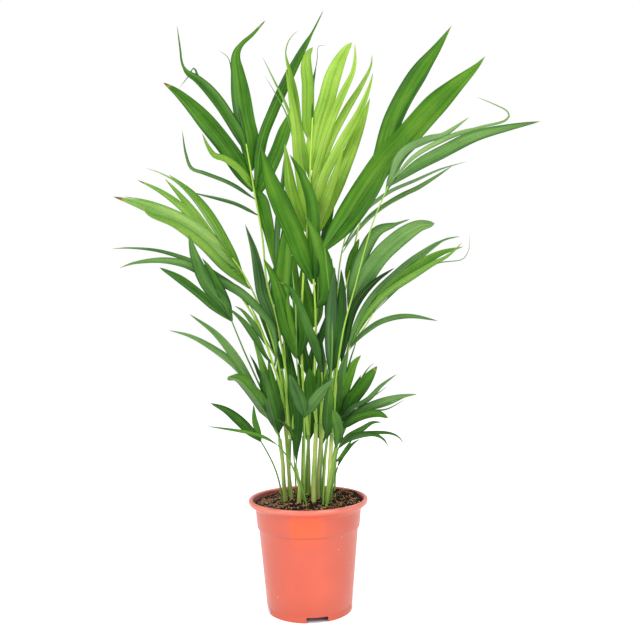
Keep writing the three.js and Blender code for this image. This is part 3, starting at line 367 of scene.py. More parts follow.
def unit(vectors):
    return vectors / np.maximum(np.linalg.norm(vectors, axis=-1, keepdims=True), 1e-12)


def smooth_line(places, per=20):
    """A centripetal Catmull-Rom line through the places, sampled densely."""
    p = np.asarray(places, float)
    p = np.vstack([2 * p[0] - p[1], p, 2 * p[-1] - p[-2]])
    line = []
    for n in range(1, len(p) - 2):
        p0, p1, p2, p3 = p[n - 1 : n + 3]
        t1 = math.sqrt(np.linalg.norm(p1 - p0))
        t2 = t1 + math.sqrt(np.linalg.norm(p2 - p1))
        t3 = t2 + math.sqrt(np.linalg.norm(p3 - p2))
        t = np.linspace(t1, t2, per, endpoint=False)[:, None]
        a1 = lerp(p0, p1, t / t1)
        a2 = lerp(p1, p2, (t - t1) / (t2 - t1))
        a3 = lerp(p2, p3, (t - t2) / (t3 - t2))
        b1 = lerp(a1, a2, t / t2)
        b2 = lerp(a2, a3, (t - t1) / (t3 - t1))
        line.append(lerp(b1, b2, (t - t1) / (t2 - t1)))
    return np.vstack([*line, p[-2]])


def arc_lengths(line):
    return np.concatenate([[0.0], np.cumsum(np.linalg.norm(np.diff(line, axis=0), axis=1))])


def at_shares(line, shares):
    """The points of a dense line at these shares of its length."""
    lengths = arc_lengths(line)
    wanted = shares * lengths[-1]
    return np.stack([np.interp(wanted, lengths, line[:, k]) for k in range(line.shape[1])], -1)


def place(x, z, y):
    """Moves places (x, z) of the front elevation along their sight lines to depth y."""
    nearer = 1 + y / -EYE[1]
    return np.stack([EYE[0] + (x - EYE[0]) * nearer, y, EYE[2] + (z - EYE[2]) * nearer], -1)


def fan(x, z):
    """How far a frond's lane has opened here: little at the soil, and more further out."""
    distance = np.hypot(x - SOIL_CENTRE[0], z - SOIL_CENTRE[1])
    near = lerp(FAN_START, 1, distance / FAN_NEAR)
    return np.where(distance < FAN_NEAR, near, 1 + (distance - FAN_NEAR) * FAN_GROWTH)


def tube_faces(rows, sides):
    """Quads between closed rows of points, and a face over each end."""
    faces = []
    for row in range(rows - 1):
        here, above = row * sides, (row + 1) * sides
        for side in range(sides):
            after = (side + 1) % sides
            faces.append((here + side, here + after, above + after, above + side))
    faces.append(tuple(range(sides - 1, -1, -1)))
    faces.append(tuple((rows - 1) * sides + k for k in range(sides)))
    return faces


class Shell:
    """Gathers the points and faces of one piece, with a material, UVs and looks for each."""

    def __init__(self):
        self.faces, self.slots, self.count = [], [], 0
        self.carried = [[], [], [], []]

    def add(self, faces, slot, points, *uvs_looks_and_across):
        self.faces += [tuple(index + self.count for index in face) for face in faces]
        self.slots += [slot] * len(faces)
        for gathered, new in zip(self.carried, (points, *uvs_looks_and_across)):
            gathered.append(new)
        self.count += len(points)

    def add_plain(self, faces, points, slot=0):
        """Adds faces whose material asks for no looks."""
        flat = np.zeros((len(points), 4))
        self.add(faces, slot, points, points[:, :2], flat, flat[:, 0])

    def piece(self, name, materials, node, slot, sharp=50):
        mesh = bpy.data.meshes.new(name)
        points, uvs, looks, across = map(np.concatenate, self.carried)
        mesh.from_pydata((points * M).tolist(), [], self.faces)
        for material in materials:
            mesh.materials.append(material)
        mesh.polygons.foreach_set("material_index", self.slots)
        loops = np.zeros(len(mesh.loops), np.int32)
        mesh.loops.foreach_get("vertex_index", loops)
        layer = mesh.uv_layers.new(name="grain")
        layer.data.foreach_set("uv", uvs[loops].astype(np.float32).ravel())
        layer = mesh.attributes.new("looks", "FLOAT_COLOR", "POINT")
        layer.data.foreach_set("color", looks.astype(np.float32).ravel())
        layer = mesh.attributes.new("across", "FLOAT", "POINT")
        layer.data.foreach_set("value", across.astype(np.float32))
        mesh.validate()
        mesh.shade_smooth()
        mesh.set_sharp_from_angle(angle=math.radians(sharp))
        piece = add_object(name, mesh)
        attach(piece, "root")
        if node:
            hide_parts(node)


# ---- Leaves ----

THICKNESS = 0.42
FOLD, FOOT_FOLD = 0.22, 0.55
RIB, WAVE = 0.035, 0.05
LEAF_STATION, LEAF_ROWS = 5, (14, 60)
LEAST_WIDTH, TIP_WIDTH = 0.02, 0.08  # as a share, and in millimetres
NARROW = 7  # a leaflet up to this wide has a third of the columns
COLUMNS = np.array([-1, -0.86, -0.68, -0.5, -0.34, -0.16, 0, 0.16, 0.34, 0.5, 0.68, 0.86, 1])
SOFTNESS = 14


def blade_width(share, full=0.5, rounded=0.5, tail=0, tail_width=0.24, opening=OPENING):
    """Width of a leaflet along its length, as a share of its greatest width."""
    foot = max(0.14, 0.5 - opening)
    opened = foot + (1 - foot) * np.sin(0.5 * np.pi * np.minimum(share / opening, 1))
    body = np.clip(1 - share / (1 - 0.85 * tail), 0, 1)
    closing = np.power(body / (1 - full), lerp(1.05, 0.45, rounded))
    if tail:
        closing += tail_width * np.sqrt(np.clip((1 - share) / tail, 0, 1))
    return -np.log(sum(np.exp(-SOFTNESS * limit) for limit in (opened, closing, 1))) / SOFTNESS


def blade(shell, rng, frond, stalk, leaflet):
    """One leaflet: a thin closed blade, folded and ribbed along its midrib."""
    width, turn, reach, (tone, grey_sheen, dry, *shape), places = leaflet
    flat = smooth_line(places)
    length = arc_lengths(flat)[-1]
    rows = int(np.clip(length / LEAF_STATION, *LEAF_ROWS))
    share = np.linspace(0, 1, rows)
    at = at_shares(flat, share)

    # Its line: from its foot on the stalk into the frond's lane, and out of that to its tip.
    nearest = np.argmin(np.linalg.norm(stalk - place(*places[0], stalk[:, 1]), axis=1))
    lead = frond["reach"] * (arc_lengths(stalk)[nearest] / arc_lengths(stalk)[-1]) ** 2
    step = stalk[nearest][1] - frond["lane"] * fan(*places[0]) - lead
    depth = frond["lane"] * fan(*at.T) + step * (1 - smoothstep(share, 0, 0.6))
    centres = place(*at.T, depth + lerp(lead, reach, share**2))
    centres[0] = stalk[nearest]
    along = unit(np.gradient(centres, axis=0))
    level = unit(np.cross(DEPTH, along))
    sway = turn + rng.uniform(-4, 4)
    sway += rng.uniform(3, 8) * np.sin(share * rng.uniform(1.5, 3.5) + rng.uniform(0, 6))
    angle = np.radians(sway)[:, None]
    across = level * np.cos(angle) + np.cross(along, level) * np.sin(angle)
    face = np.cross(along, across)

    # Its cross-sections: c goes from -1 at one edge to 1 at the other.
    opening = OPENINGS.get(frond["name"], OPENING)
    widths = np.maximum(blade_width(share, *shape, opening=opening), LEAST_WIDTH)
    h = 0.5 * width * widths[:, None]
    h[-1] = TIP_WIDTH / 2
    columns = COLUMNS if width > NARROW else COLUMNS[::3]
    c = columns[None, :]
    fold = FOLD + FOOT_FOLD * (1 - smoothstep(share, 0, 0.2))[:, None]
    rib = RIB * np.cos(4 * np.pi * c) * smoothstep(share, 0, 0.12)[:, None]
    waves = np.sin(share[:, None] * rng.uniform(9, 16) + np.sign(c) * rng.uniform(0, 3))
    lift = fold * np.abs(c) - rib + WAVE * np.abs(c) ** 3 * waves
    spread = c * np.sqrt(np.clip(1 - (0.6 * fold * np.abs(c)) ** 2, 0.2, 1))
    middle = centres[:, None] + across[:, None] * (h * spread)[..., None]
    middle += face[:, None] * (h * lift)[..., None]
    slope = np.gradient(lift, columns, axis=1)
    normal = unit(face[:, None] - across[:, None] * slope[..., None])
    thick = 0.5 * THICKNESS * np.sqrt(1 - c**8) * (1 + 1.2 * np.exp(-((c / 0.1) ** 2)))
    thick = (thick * np.clip(h / 1.2, 0.15, 1))[..., None]
    ring = np.concatenate([middle + normal * thick, (middle - normal * thick)[:, -2:0:-1]], axis=1)

    sides = ring.shape[1]
    cc = np.tile(np.concatenate([columns, columns[-2:0:-1]]), rows)
    ss = np.repeat(share, sides)
    under = np.tile(np.arange(sides) >= len(columns), rows)
    tip = smoothstep(ss, 0.95 - 0.09 * dry, 1.0) * dry
    tones = tone + 0.06 * (ss - 0.5) + rng.uniform(-0.03, 0.03)
    # The second look is a painted silvery sheen, a little stronger on the underside.
    looks = np.stack([tones, grey_sheen + 0.10 * under, tip, ss], -1)
    uv = np.stack([cc * width * 0.5, ss * length], -1) + rng.uniform(0, 400)
    shell.add(tube_faces(rows, sides), 0, ring.reshape(-1, 3), uv, looks, cc)


def stalk_line(frond, foot, places):
    """A leaf stalk's line in space, from the depth of its foot into its frond's lane."""
    flat = smooth_line(places)
    length = arc_lengths(flat)[-1]
    share = np.linspace(0, 1, max(4, round(length / 22)) + 1)
    at = at_shares(flat, share)
    settled = smoothstep(share * length, 0, SETTLE)
    lane = frond["lane"] * fan(*at.T) + frond["reach"] * share**2
    return smooth_line(place(*at.T, lerp(foot, lane, settled)))


def rod(shell, line, radii, slot, tone=0, dry=0, seed=0, sides=5, station=1, lobes=0, flutes=0):
    """A round stem along a line, with shallow flutes along it, closed at both ends."""
    length = arc_lengths(line)[-1]
    rows = max(3, int(length / station) + 1)
    share = np.linspace(0, 1, rows)
    centres = at_shares(line, share)
    along = unit(np.gradient(centres, axis=0))
    right = unit(np.cross(DEPTH, along))
    front = np.cross(along, right)
    angle = np.linspace(0, 2 * np.pi, sides, endpoint=False)
    radius = lerp(*radii, share)[:, None]
    flute = 0.5 + 0.5 * np.cos(angle * flutes + seed + share[:, None] * 1.5)
    radius = radius * (1 - lobes * flute)
    ring = (
        centres[:, None]
        + right[:, None] * (radius * np.cos(angle))[..., None]
        + front[:, None] * (radius * np.sin(angle))[..., None]
    )
    ss = np.repeat(share, sides)
    aa = np.tile(angle, rows)
    uv = np.stack([aa * radii[0], ss * length], -1)
    looks = np.stack([np.full_like(ss, tone), 0 * ss, np.full_like(ss, dry), ss], -1)
    shell.add(tube_faces(rows, sides), slot, ring.reshape(-1, 3), uv, looks, np.sin(aa))


# ---- Materials ----

LEAF_GREENS = [
    (0, (0.006, 0.032, 0.003)), (0.22, (0.02, 0.105, 0.005)), (0.4, (0.064, 0.22, 0.006)),
    (0.62, (0.15, 0.34, 0.013)), (0.8, (0.26, 0.455, 0.03)), (1, (0.42, 0.62, 0.085)),
]
# Painted sheen: the pale silvery greens that a leaflet's sheen mixes towards.
LEAF_SHEEN_GREYS = [
    (0, (0.022, 0.06, 0.03)), (0.3, (0.085, 0.175, 0.075)), (0.5, (0.2, 0.35, 0.15)),
    (1, (0.55, 0.74, 0.42)),
]
STALK_GREENS = [(0, (0.03, 0.12, 0.02)), (0.5, (0.14, 0.33, 0.03)), (1, (0.44, 0.66, 0.07))]
CANE_GREENS = [(0, (0.045, 0.14, 0.012)), (0.5, (0.19, 0.32, 0.045)), (1, (0.5, 0.55, 0.16))]


class Nodes:
    """Short names for making a material's nodes."""

    def __init__(self, name):
        self.material = bpy.data.materials.new(name)
        self.material.use_nodes = True
        self.tree = self.material.node_tree
        self.tree.nodes.clear()

    def node(self, kind, inputs=(), **settings):
        made = self.tree.nodes.new("ShaderNode" + kind)
        for key, value in settings.items():
            setattr(made, key, value)
        for key, value in dict(inputs).items():
            if isinstance(value, bpy.types.NodeSocket):
                self.tree.links.new(value, made.inputs[key])
            else:
                made.inputs[key].default_value = value
        return made

    def math(self, operation, a, b=0):
        return self.node("Math", {0: a, 1: b}, operation=operation).outputs[0]

    def times(self, value, *factors):
        for factor in factors:
            value = self.math("MULTIPLY", value, factor)
        return value

    def linear(self, value, low, high, to_low, to_high, clamp=False, way="LINEAR"):
        inputs = {0: value, 1: low, 2: high, 3: to_low, 4: to_high}
        return self.node("MapRange", inputs, clamp=clamp, interpolation_type=way).outputs[0]

    def span(self, value, low, high, to_low=0, to_high=1):
        return self.linear(value, low, high, to_low, to_high, True, "SMOOTHSTEP")

    def add(self, value, *spans):
        for span in spans:
            value = self.math("ADD", value, self.span(*span))
        return value

    def vary(self, value, *noises):
        """Moves a value up and down by noises, each given with the most that it does."""
        return self.add(value, *[(noise, 0.3, 0.7, -most, most) for noise, most in noises])

    def mix(self, factor, a, b, blend="MIX"):
        a, b = [(*value, 1) if isinstance(value, tuple) else value for value in (a, b)]
        inputs = {0: factor, 6: a, 7: b}
        return self.node("Mix", inputs, data_type="RGBA", blend_type=blend).outputs[2]

    def ramp(self, value, stops):
        made = self.node("ValToRGB", {0: value})
        elements = made.color_ramp.elements
        while len(elements) < len(stops):
            elements.new(0.5)
        for element, (position, colour) in zip(elements, stops):
            element.position = position
            element.color = (*colour, 1)
        return made.outputs[0]

    def noise(self, vector, scale, detail=2, roughness=0.5):
        inputs = {"Vector": vector, "Scale": scale, "Detail": detail, "Roughness": roughness}
        return self.node("TexNoise", inputs).outputs["Fac"]

    def dots(self, vector, scale, low, high):
        inputs = {"Vector": vector, "Scale": scale}
        away = self.node("TexVoronoi", inputs, feature="F1").outputs["Distance"]
        return self.span(away, low, high, 1, 0)

    def bump(self, height, strength, distance):
        inputs = {"Height": height, "Strength": strength, "Distance": distance}
        return self.node("Bump", inputs).outputs[0]

    def place(self):
        return self.node("TexCoord").outputs["Object"]

    def stretched(self, vector, factors):
        return self.node("VectorMath", {0: vector, 1: factors}, operation="MULTIPLY").outputs[0]

    def length(self, vector):
        return self.node("VectorMath", {0: vector}, operation="LENGTH").outputs["Value"]

    def grain(self, along, round_, detail=2, roughness=0.5):
        """Noise along a leaf, stalk or cane, drawn out lengthwise."""
        uv = self.node("UVMap", uv_map="grain").outputs[0]
        return self.noise(self.stretched(uv, (round_, along, 1)), 1, detail, roughness)

    def looks(self):
        """Tone, painted sheen and dry, and the share of the length, as the points carry them."""
        carried = self.node("Attribute", attribute_name="looks").outputs
        return *self.node("SeparateColor", {0: carried["Color"]}).outputs, carried["Alpha"]

    def plain(self, colour, roughness, normal, specular=0.5, tint=(1, 1, 1, 1)):
        inputs = {"Base Color": colour, "Roughness": roughness, "Normal": normal}
        inputs.update({"Specular IOR Level": specular, "Specular Tint": tint})
        return self.node("BsdfPrincipled", inputs).outputs[0]

    def surface(self, shader):
        self.node("OutputMaterial", {0: shader})
        return self.material


def leaf_material():
    n = Nodes("palm_leaf")
    tone, grey_sheen, dry, share = n.looks()
    off_rib = n.math("ABSOLUTE", n.node("Attribute", attribute_name="across").outputs["Fac"])
    # Lengthwise pleats and veins, from broad to fine.
    bands = n.grain(0.004, 0.1)
    streaks = n.grain(0.006, 0.3, 2, 0.55)
    hairs = n.grain(0.01, 1.4)
    clouds = n.noise(n.place(), 16, 3)
    tone = n.vary(tone, (bands, 0.07), (streaks, 0.06), (hairs, 0.03), (clouds, 0.07))
    # Painted shade: each leaflet is a little lighter near its middle, darker towards its edges
    # where the next one shades it, and darker at its foot.
    tone = n.add(tone, (off_rib, 0.1, 0.7, 0.02, 0), (off_rib, 0.7, 1, 0, -0.12),
        (share, 0, 0.35, -0.05, 0))
    # Painted sheen: the green is mixed towards pale silvery greens, as far as the look's second
    # value asks.
    green = n.mix(grey_sheen, n.ramp(tone, LEAF_GREENS), n.ramp(tone, LEAF_SHEEN_GREYS))
    side_rib = n.math("ABSOLUTE", n.math("SUBTRACT", off_rib, 0.5))
    side_rib = n.span(side_rib, 0, 0.05, 0.07, 0)
    mid_rib = n.span(off_rib, 0, 0.06, 0.16, 0)
    pale = n.mix(0.5, green, (0.34, 0.6, 0.07))
    green = n.mix(n.math("MAXIMUM", side_rib, mid_rib), green, pale)
    patchy = n.times(dry, n.span(n.noise(n.place(), 120), 0.3, 0.7, 0.8, 1.2))
    brown = n.mix(n.noise(n.place(), 150, 3), (0.3, 0.19, 0.075), (0.12, 0.065, 0.028))
    yellowed = n.mix(n.span(patchy, 0.12, 0.4, 0, 0.75), green, (0.4, 0.42, 0.09))
    colour = n.mix(n.span(patchy, 0.32, 0.55), yellowed, brown)
    normal = n.bump(n.math("ADD", n.times(streaks, 0.6), bands), 0.5, 0.0012)
    rough = n.span(n.math("ADD", clouds, n.times(streaks, 0.5)), 0.5, 1, 0.34, 0.48)
    rough = n.math("ADD", rough, n.times(dry, 0.3))
    shader = n.plain(colour, rough, normal, 0.25, (0.62, 0.9, 0.42, 1))
    glow = n.mix(1, colour, (1.5, 1.45, 0.25), "MULTIPLY")
    through = n.node("BsdfTranslucent", {"Color": glow, "Normal": normal}).outputs[0]
    return n.surface(n.node("MixShader", {0: 0.3, 1: shader, 2: through}).outputs[0])


def stalk_material():
    n = Nodes("leaf_stalk")
    streaks = n.grain(0.02, 1.6, 3, 0.6)
    colour = n.ramp(n.vary(n.looks()[0], (streaks, 0.12)), STALK_GREENS)
    return n.surface(n.plain(colour, 0.42, n.bump(streaks, 0.3, 0.0003), 0.35))


def cane_material():
    n = Nodes("palm_cane")
    tone, _, dry, share = n.looks()
    streaks = n.grain(0.02, 0.9, 4, 0.65)
    fibres = n.grain(0.05, 5)
    clouds = n.noise(n.place(), 30)
    tone = n.vary(tone, (streaks, 0.22), (clouds, 0.08))
    tone = n.add(tone, (share, 0.55, 1, 0, 0.16), (share, 0.45, 0.15, 0, 0.16))
    green = n.ramp(tone, CANE_GREENS)
    fibrous = n.mix(1, green, (0.5, 0.55, 0.4), "MULTIPLY")
    green = n.mix(n.span(fibres, 0.45, 0.8, 0, 0.35), green, fibrous)
    dry = n.add(dry, (streaks, 0.35, 0.75, -0.35, 0.35), (share, 0, 0.5, 0.12, -0.1))
    colour = n.mix(n.span(dry, 0.25, 0.6, 0, 0.85), green, (0.3, 0.21, 0.085))
    # The top is as green as the leaf stalks that come out of it.
    colour = n.mix(n.span(share, 0.84, 1, 0, 0.85), colour, (0.18, 0.37, 0.04))
    normal = n.bump(n.math("ADD", n.times(fibres, 0.6), streaks), 0.45, 0.0005)
    return n.surface(n.plain(colour, n.span(clouds, 0.3, 0.7, 0.4, 0.55), normal, 0.3))


def pot_material():
    n = Nodes("pot_plastic")
    at = n.place()
    x, y, z = n.node("SeparateXYZ", {0: at}).outputs
    clouds = n.noise(at, 11, 3)
    base = n.mix(n.span(clouds, 0.3, 0.7), (0.6, 0.094, 0.049), (0.67, 0.116, 0.062))
    # Painted shade: darker towards the sides, away from the middle. The colour is also darker
    # towards the bottom.
    painted_side_shade = n.span(n.math("ABSOLUTE", x), 0.015, 0.066, 0, 0.55)
    base = n.mix(painted_side_shade, base, (0.43, 0.083, 0.052))
    base = n.mix(n.span(z, 0, 0.06, 0.35, 0), base, (0.44, 0.066, 0.03))
    # Painted light: a brighter orange patch on the front of the collar and just below it, where the
    # front reflects less white than the sides do.
    painted_light_patch = n.times(n.span(z, 0.117, 0.121), n.span(z, 0.149, 0.141))
    below = n.times(n.span(z, 0.098, 0.116, 0, 0.6), n.span(z, 0.118, 0.1165))
    front = n.times(n.span(x, -0.027, -0.019), n.span(x, 0.027, 0.012), n.span(y, 0, -0.03))
    painted_light_patch = n.times(n.math("MAXIMUM", painted_light_patch, below), front, 0.7)
    base = n.mix(painted_light_patch, base, (0.8, 0.1, 0.018))
    # Pale specks, a rim painted paler pink as its highlight and mottled by scuffs, soil on the rim
    # and the foot, and a dark line along the collar's lower edge.
    specks = n.times(n.dots(at, 150, 0.08, 0.13), n.span(n.noise(at, 45), 0.6, 0.64), 0.7)
    base = n.mix(specks, base, (0.85, 0.62, 0.5))
    scuffs = n.noise(n.stretched(at, (30, 30, 160)), 1, 5, 0.7)
    # Painted highlight: a paler pink band round the rim, mottled by scuffs, and paler still where
    # the scuffs are strongest.
    rim_highlight_and_scuffs = n.times(n.span(z, 0.1495, 0.1535), n.span(scuffs, 0.3, 0.7, 0.25, 0.75))
    base = n.mix(rim_highlight_and_scuffs, base, (0.8, 0.24, 0.18))
    rim_scuffs_and_highlight = n.times(n.span(scuffs, 0.55, 0.72, 0, 0.5), n.span(z, 0.146, 0.152))
    base = n.mix(rim_scuffs_and_highlight, base, (0.86, 0.34, 0.26))
    near_rims = n.math("MAXIMUM", n.span(z, 0.15, 0.156), n.span(z, 0.014, 0.002))
    dark_marks = n.times(n.dots(at, 130, 0.06, 0.12), n.span(n.noise(at, 60), 0.52, 0.6), near_rims)
    # A dark line along the collar's lower edge, mixed in with the soil dots.
    collar_line = n.times(n.span(z, 0.114, 0.1158), n.span(z, 0.1176, 0.1164), 0.35)
    dark_marks = n.times(n.math("MAXIMUM", dark_marks, collar_line), 0.7)
    colour = n.mix(dark_marks, base, (0.1, 0.045, 0.03))
    # Painted shade: the wall's inner face is darker than the outside, and the space under the floor
    # is painted a dark lilac shade.
    radius = n.length(n.node("CombineXYZ", {0: x, 1: y}).outputs[0])
    collar_middle = n.linear(z, 0.1166, 0.143, 0.0722, 0.0748)
    lip_middle = n.linear(z, 0.143, 0.153, 0.0748, 0.0818)
    painted_inner_shade = n.math("LESS_THAN", radius, n.math("MAXIMUM", collar_middle, lip_middle))
    painted_inner_shade = n.times(painted_inner_shade, n.span(z, 0.1563, 0.153), n.span(z, 0.118, 0.12))
    colour = n.mix(painted_inner_shade, colour, (0.2, 0.021, 0.01))
    under = n.times(n.math("LESS_THAN", radius, 0.0582), n.math("LESS_THAN", z, 0.0092), 0.8)
    colour = n.mix(under, colour, (0.2, 0.17, 0.27))
    height = n.math("ADD", n.times(n.noise(at, 900), 0.2), clouds)
    rough = n.span(n.math("ADD", clouds, n.times(scuffs, 0.4)), 0.4, 0.9, 0.3, 0.4)
    return n.surface(n.plain(colour, rough, n.bump(height, 0.06, 0.0006)))


def soil_material(name, dark, light):
    n = Nodes(name)
    at = n.place()
    lumps = n.noise(at, 260, 6, 0.7)
    grains = n.noise(at, 900, 4, 0.7)
    colour = n.mix(n.span(lumps, 0.42, 0.68), dark, light)
    colour = n.mix(n.span(grains, 0.58, 0.75, 0, 0.6), colour, (0.14, 0.075, 0.04))
    normal = n.bump(n.math("ADD", lumps, n.times(grains, 0.5)), 0.9, 0.0015)
    return n.surface(n.plain(colour, 0.95, normal, 0.25))


def speck_material(name, dark, light, rough):
    n = Nodes(name)
    at = n.place()
    colour = n.mix(n.span(n.noise(at, 180, 3), 0.35, 0.65), dark, light)
    return n.surface(n.plain(colour, rough, n.bump(n.noise(at, 1500, 3), 0.5, 0.0004)))


# ---- Canes and fronds ----

CANE_SHAPE = dict(sides=28, station=4, lobes=0.07, flutes=3)
STALK_SHAPE = dict(sides=10, station=6, lobes=0.12, flutes=2)

leaf, stalk, cane = leaf_material(), stalk_material(), cane_material()
tops = {}
for seed, (name, ((*radii, tone, dry), places)) in enumerate(CANES.items()):
    line = smooth_line(place(*np.array(places).T))
    shell = Shell()
    rod(shell, line, radii, 0, tone, dry, seed * 1.7, **CANE_SHAPE)
    shell.piece("palm_cane_" + name, [cane], "stem_" + name, "cane")
    tops[name] = (places[-1], unit(line[-1] - line[-2]))

for seed, frond in enumerate(FRONDS):
    places, foot = frond["stalk"], frond["seat"]
    if frond["carrier"] in tops:
        at, along = tops[frond["carrier"]]
        carried = sum(other["carrier"] == frond["carrier"] for other in FRONDS)
        apart = 0 if carried < 2 else (STALK_FOOT + GAP / 2) / math.sin(math.pi / carried)
        seat = math.radians(frond["seat"])
        footed = [[at[0] + apart * math.cos(seat) + rise * along[0], at[1] + rise * along[2]]
            for rise in (STALK_RISE, STALK_RISE + STALK_STRAIGHT)]
        places = footed + places
        foot = at[2] + apart * math.sin(seat)
    line = stalk_line(frond, foot, places)
    shell = Shell()
    rng = np.random.default_rng(100 + seed)
    radii = THICK_STALKS.get(frond["name"], STALK_RADII)
    rod(shell, line, radii, 1, frond["tone"], 0, seed, **STALK_SHAPE)
    for leaflet in frond["leaflets"]:
        blade(shell, rng, frond, line, leaflet)
    shell.piece("palm_frond_" + frond["name"], [leaf, stalk], "frond_" + frond["name"], "leaf")

# ---- Pot ----

POT_HEIGHT, RIM_RADIUS, FLOOR = 156.6, 85, 2
STEP = POT_HEIGHT - 40
FOOT_HEIGHT, FOOT_RADIUS, BODY_FOOT = 9, 60.5, 61
# Radius, and height over the level that begins the row.
POT_PROFILE = [
    (FOOT_HEIGHT, [(0, 0), (57.9, 0)]),
    (0, [(57.5, 0), (59.9, 0), (60.35, 0.35), (FOOT_RADIUS, 1)]),
    (FOOT_HEIGHT, [(60.7, -0.9), (60.55, -0.3), (60.6, 0.3), (BODY_FOOT, 0.8)]),
    (0, [(64.1, 43), (67.4, 79)]),
    (STEP, [(70.75, -2.6), (71.1, -1.6), (72.3, -0.2), (72.9, 0.7), (73.05, 1.6)]),
    (0, [(74.3, 130)]),
    (POT_HEIGHT, [(75.3, -16), (75.7, -13.4), (77.6, -11.3), (82, -8.6), (84.2, -6.8),
        (84.95, -5.2), (RIM_RADIUS, -2.4), (84.6, -1), (83.6, -0.2), (82.6, 0), (81.2, -0.2),
        (80.2, -0.9), (78.6, -3.5), (76.6, -8), (74.6, -12), (73.9, -13.5)]),
    (STEP, [(71.4, 1), (69.1, -2.4)]),
    (FOOT_HEIGHT + FLOOR, [(59.3, 0), (0, 0)]),
]
SEGMENTS = 160
NOTCH_ANGLES = (-79, 11, 101, 191)
NOTCH_SIZE = (30, 14, 15)
DRAINS, DRAIN_CIRCLE, DRAIN_RADIUS = 8, 42, 5


def pot_piece():
    made = bmesh.new()
    rings = []
    for radius, z in [(radius, level + up) for level, row in POT_PROFILE for radius, up in row]:
        ring = []
        for k in range(SEGMENTS if radius > 0 else 1):
            angle = 2 * math.pi * k / SEGMENTS
            out = radius * (1 + 0.0012 * math.sin(2 * angle + 0.6) * min(z / 100, 1)) * M
            ring.append(made.verts.new((out * math.cos(angle), out * math.sin(angle), z * M)))
        rings.append(ring)
    for low, high in zip(rings, rings[1:]):
        for k in range(SEGMENTS):
            after = (k + 1) % SEGMENTS
            corners = [low[k % len(low)], low[after % len(low)]]
            corners += [high[after % len(high)], high[k % len(high)]]
            made.faces.new(list(dict.fromkeys(corners)))
    bmesh.ops.recalc_face_normals(made, faces=made.faces)
    mesh = bpy.data.meshes.new("nursery_pot")
    made.to_mesh(mesh)
    made.free()
    mesh.materials.append(pot_material())
    piece = add_object("nursery_pot", mesh)

    cut = bmesh.new()
    outward = Matrix.Translation((0, -FOOT_RADIUS * M, 0))
    size = Matrix.Diagonal((*(side * M for side in NOTCH_SIZE), 1))
    for degrees in NOTCH_ANGLES:
        turned = Matrix.Rotation(math.radians(degrees + 90), 4, "Z")
        bmesh.ops.create_cube(cut, size=1, matrix=turned @ outward @ size)
    for k in range(DRAINS):
        angle = k * 2 * math.pi / DRAINS
        x, y = DRAIN_CIRCLE * math.cos(angle), DRAIN_CIRCLE * math.sin(angle)
        centre = Matrix.Translation((x * M, y * M, (FOOT_HEIGHT + FLOOR / 2) * M))
        bmesh.ops.create_cone(cut, cap_ends=True, segments=32, radius1=DRAIN_RADIUS * M,
            radius2=DRAIN_RADIUS * M, depth=3 * FLOOR * M, matrix=centre)
    cutter = bpy.data.meshes.new("cutter")
    cut.to_mesh(cutter)
    cut.free()
    tool = add_object("cutter", cutter)
    boolean = piece.modifiers.new("openings", "BOOLEAN")
    boolean.object, boolean.operation, boolean.solver = tool, "DIFFERENCE", "EXACT"
    evaluated = piece.evaluated_get(bpy.context.evaluated_depsgraph_get())
    shaped = bpy.data.meshes.new_from_object(evaluated)
    piece.modifiers.clear()
    piece.data = shaped
    bpy.data.objects.remove(tool)
    shaped.shade_smooth()
    shaped.set_sharp_from_angle(angle=math.radians(38))
    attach(piece, "root")
    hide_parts("pot")


pot_piece()

# ---- Potting soil ----

SOIL_LEVEL, SOIL_EDGE = 149.3, 76.1
# Radius and height of the soil's side, from its foot to its edge.
SOIL_SIDE = [(59, 11.3), (68.8, STEP - 2.6), (71, STEP + 1), (73.4, 142.6), (73.9, 144.2)]
SOIL_RINGS, SOIL_SIDES = 74, 220
CRUMB_EDGE, FIBRE_EDGE, FIBRE_LIMIT = 74, 71, 74.5
OFF_CANES = 5.5


def soil_height(x, y):
    out = np.hypot(x, y) / 75.6
    lumps = np.sin(x * 0.31 + y * 0.17) + np.sin(-x * 0.12 + y * 0.37) + np.sin(x * 0.13 + y * 0.41)
    heap = 5.5 * np.exp(-((x - 52) ** 2 + (y - 30) ** 2) / 26**2)  # piled up at the back right
    heap += 5.5 * np.exp(-((x - 2) ** 2 + (y + 16) ** 2) / 32**2)  # and around the canes
    return SOIL_LEVEL + 3 * (1 - out**2) + 0.9 * lumps + 0.02 * (x + y) * out + heap


def over_soil(at, rise):
    return np.array([*at, soil_height(*at) + rise])


def bumps(x, y, rng, count, low, high):
    """A sum of waves in random directions, from -1 to 1."""
    total = 0
    for _ in range(count):
        angle, wave = rng.uniform(0, 2 * np.pi), rng.uniform(low, high)
        ahead = (x * np.cos(angle) + y * np.sin(angle)) * 2 * np.pi / wave
        total += np.sin(ahead + rng.uniform(0, 6.3))
    return total / count**0.5 / 1.5


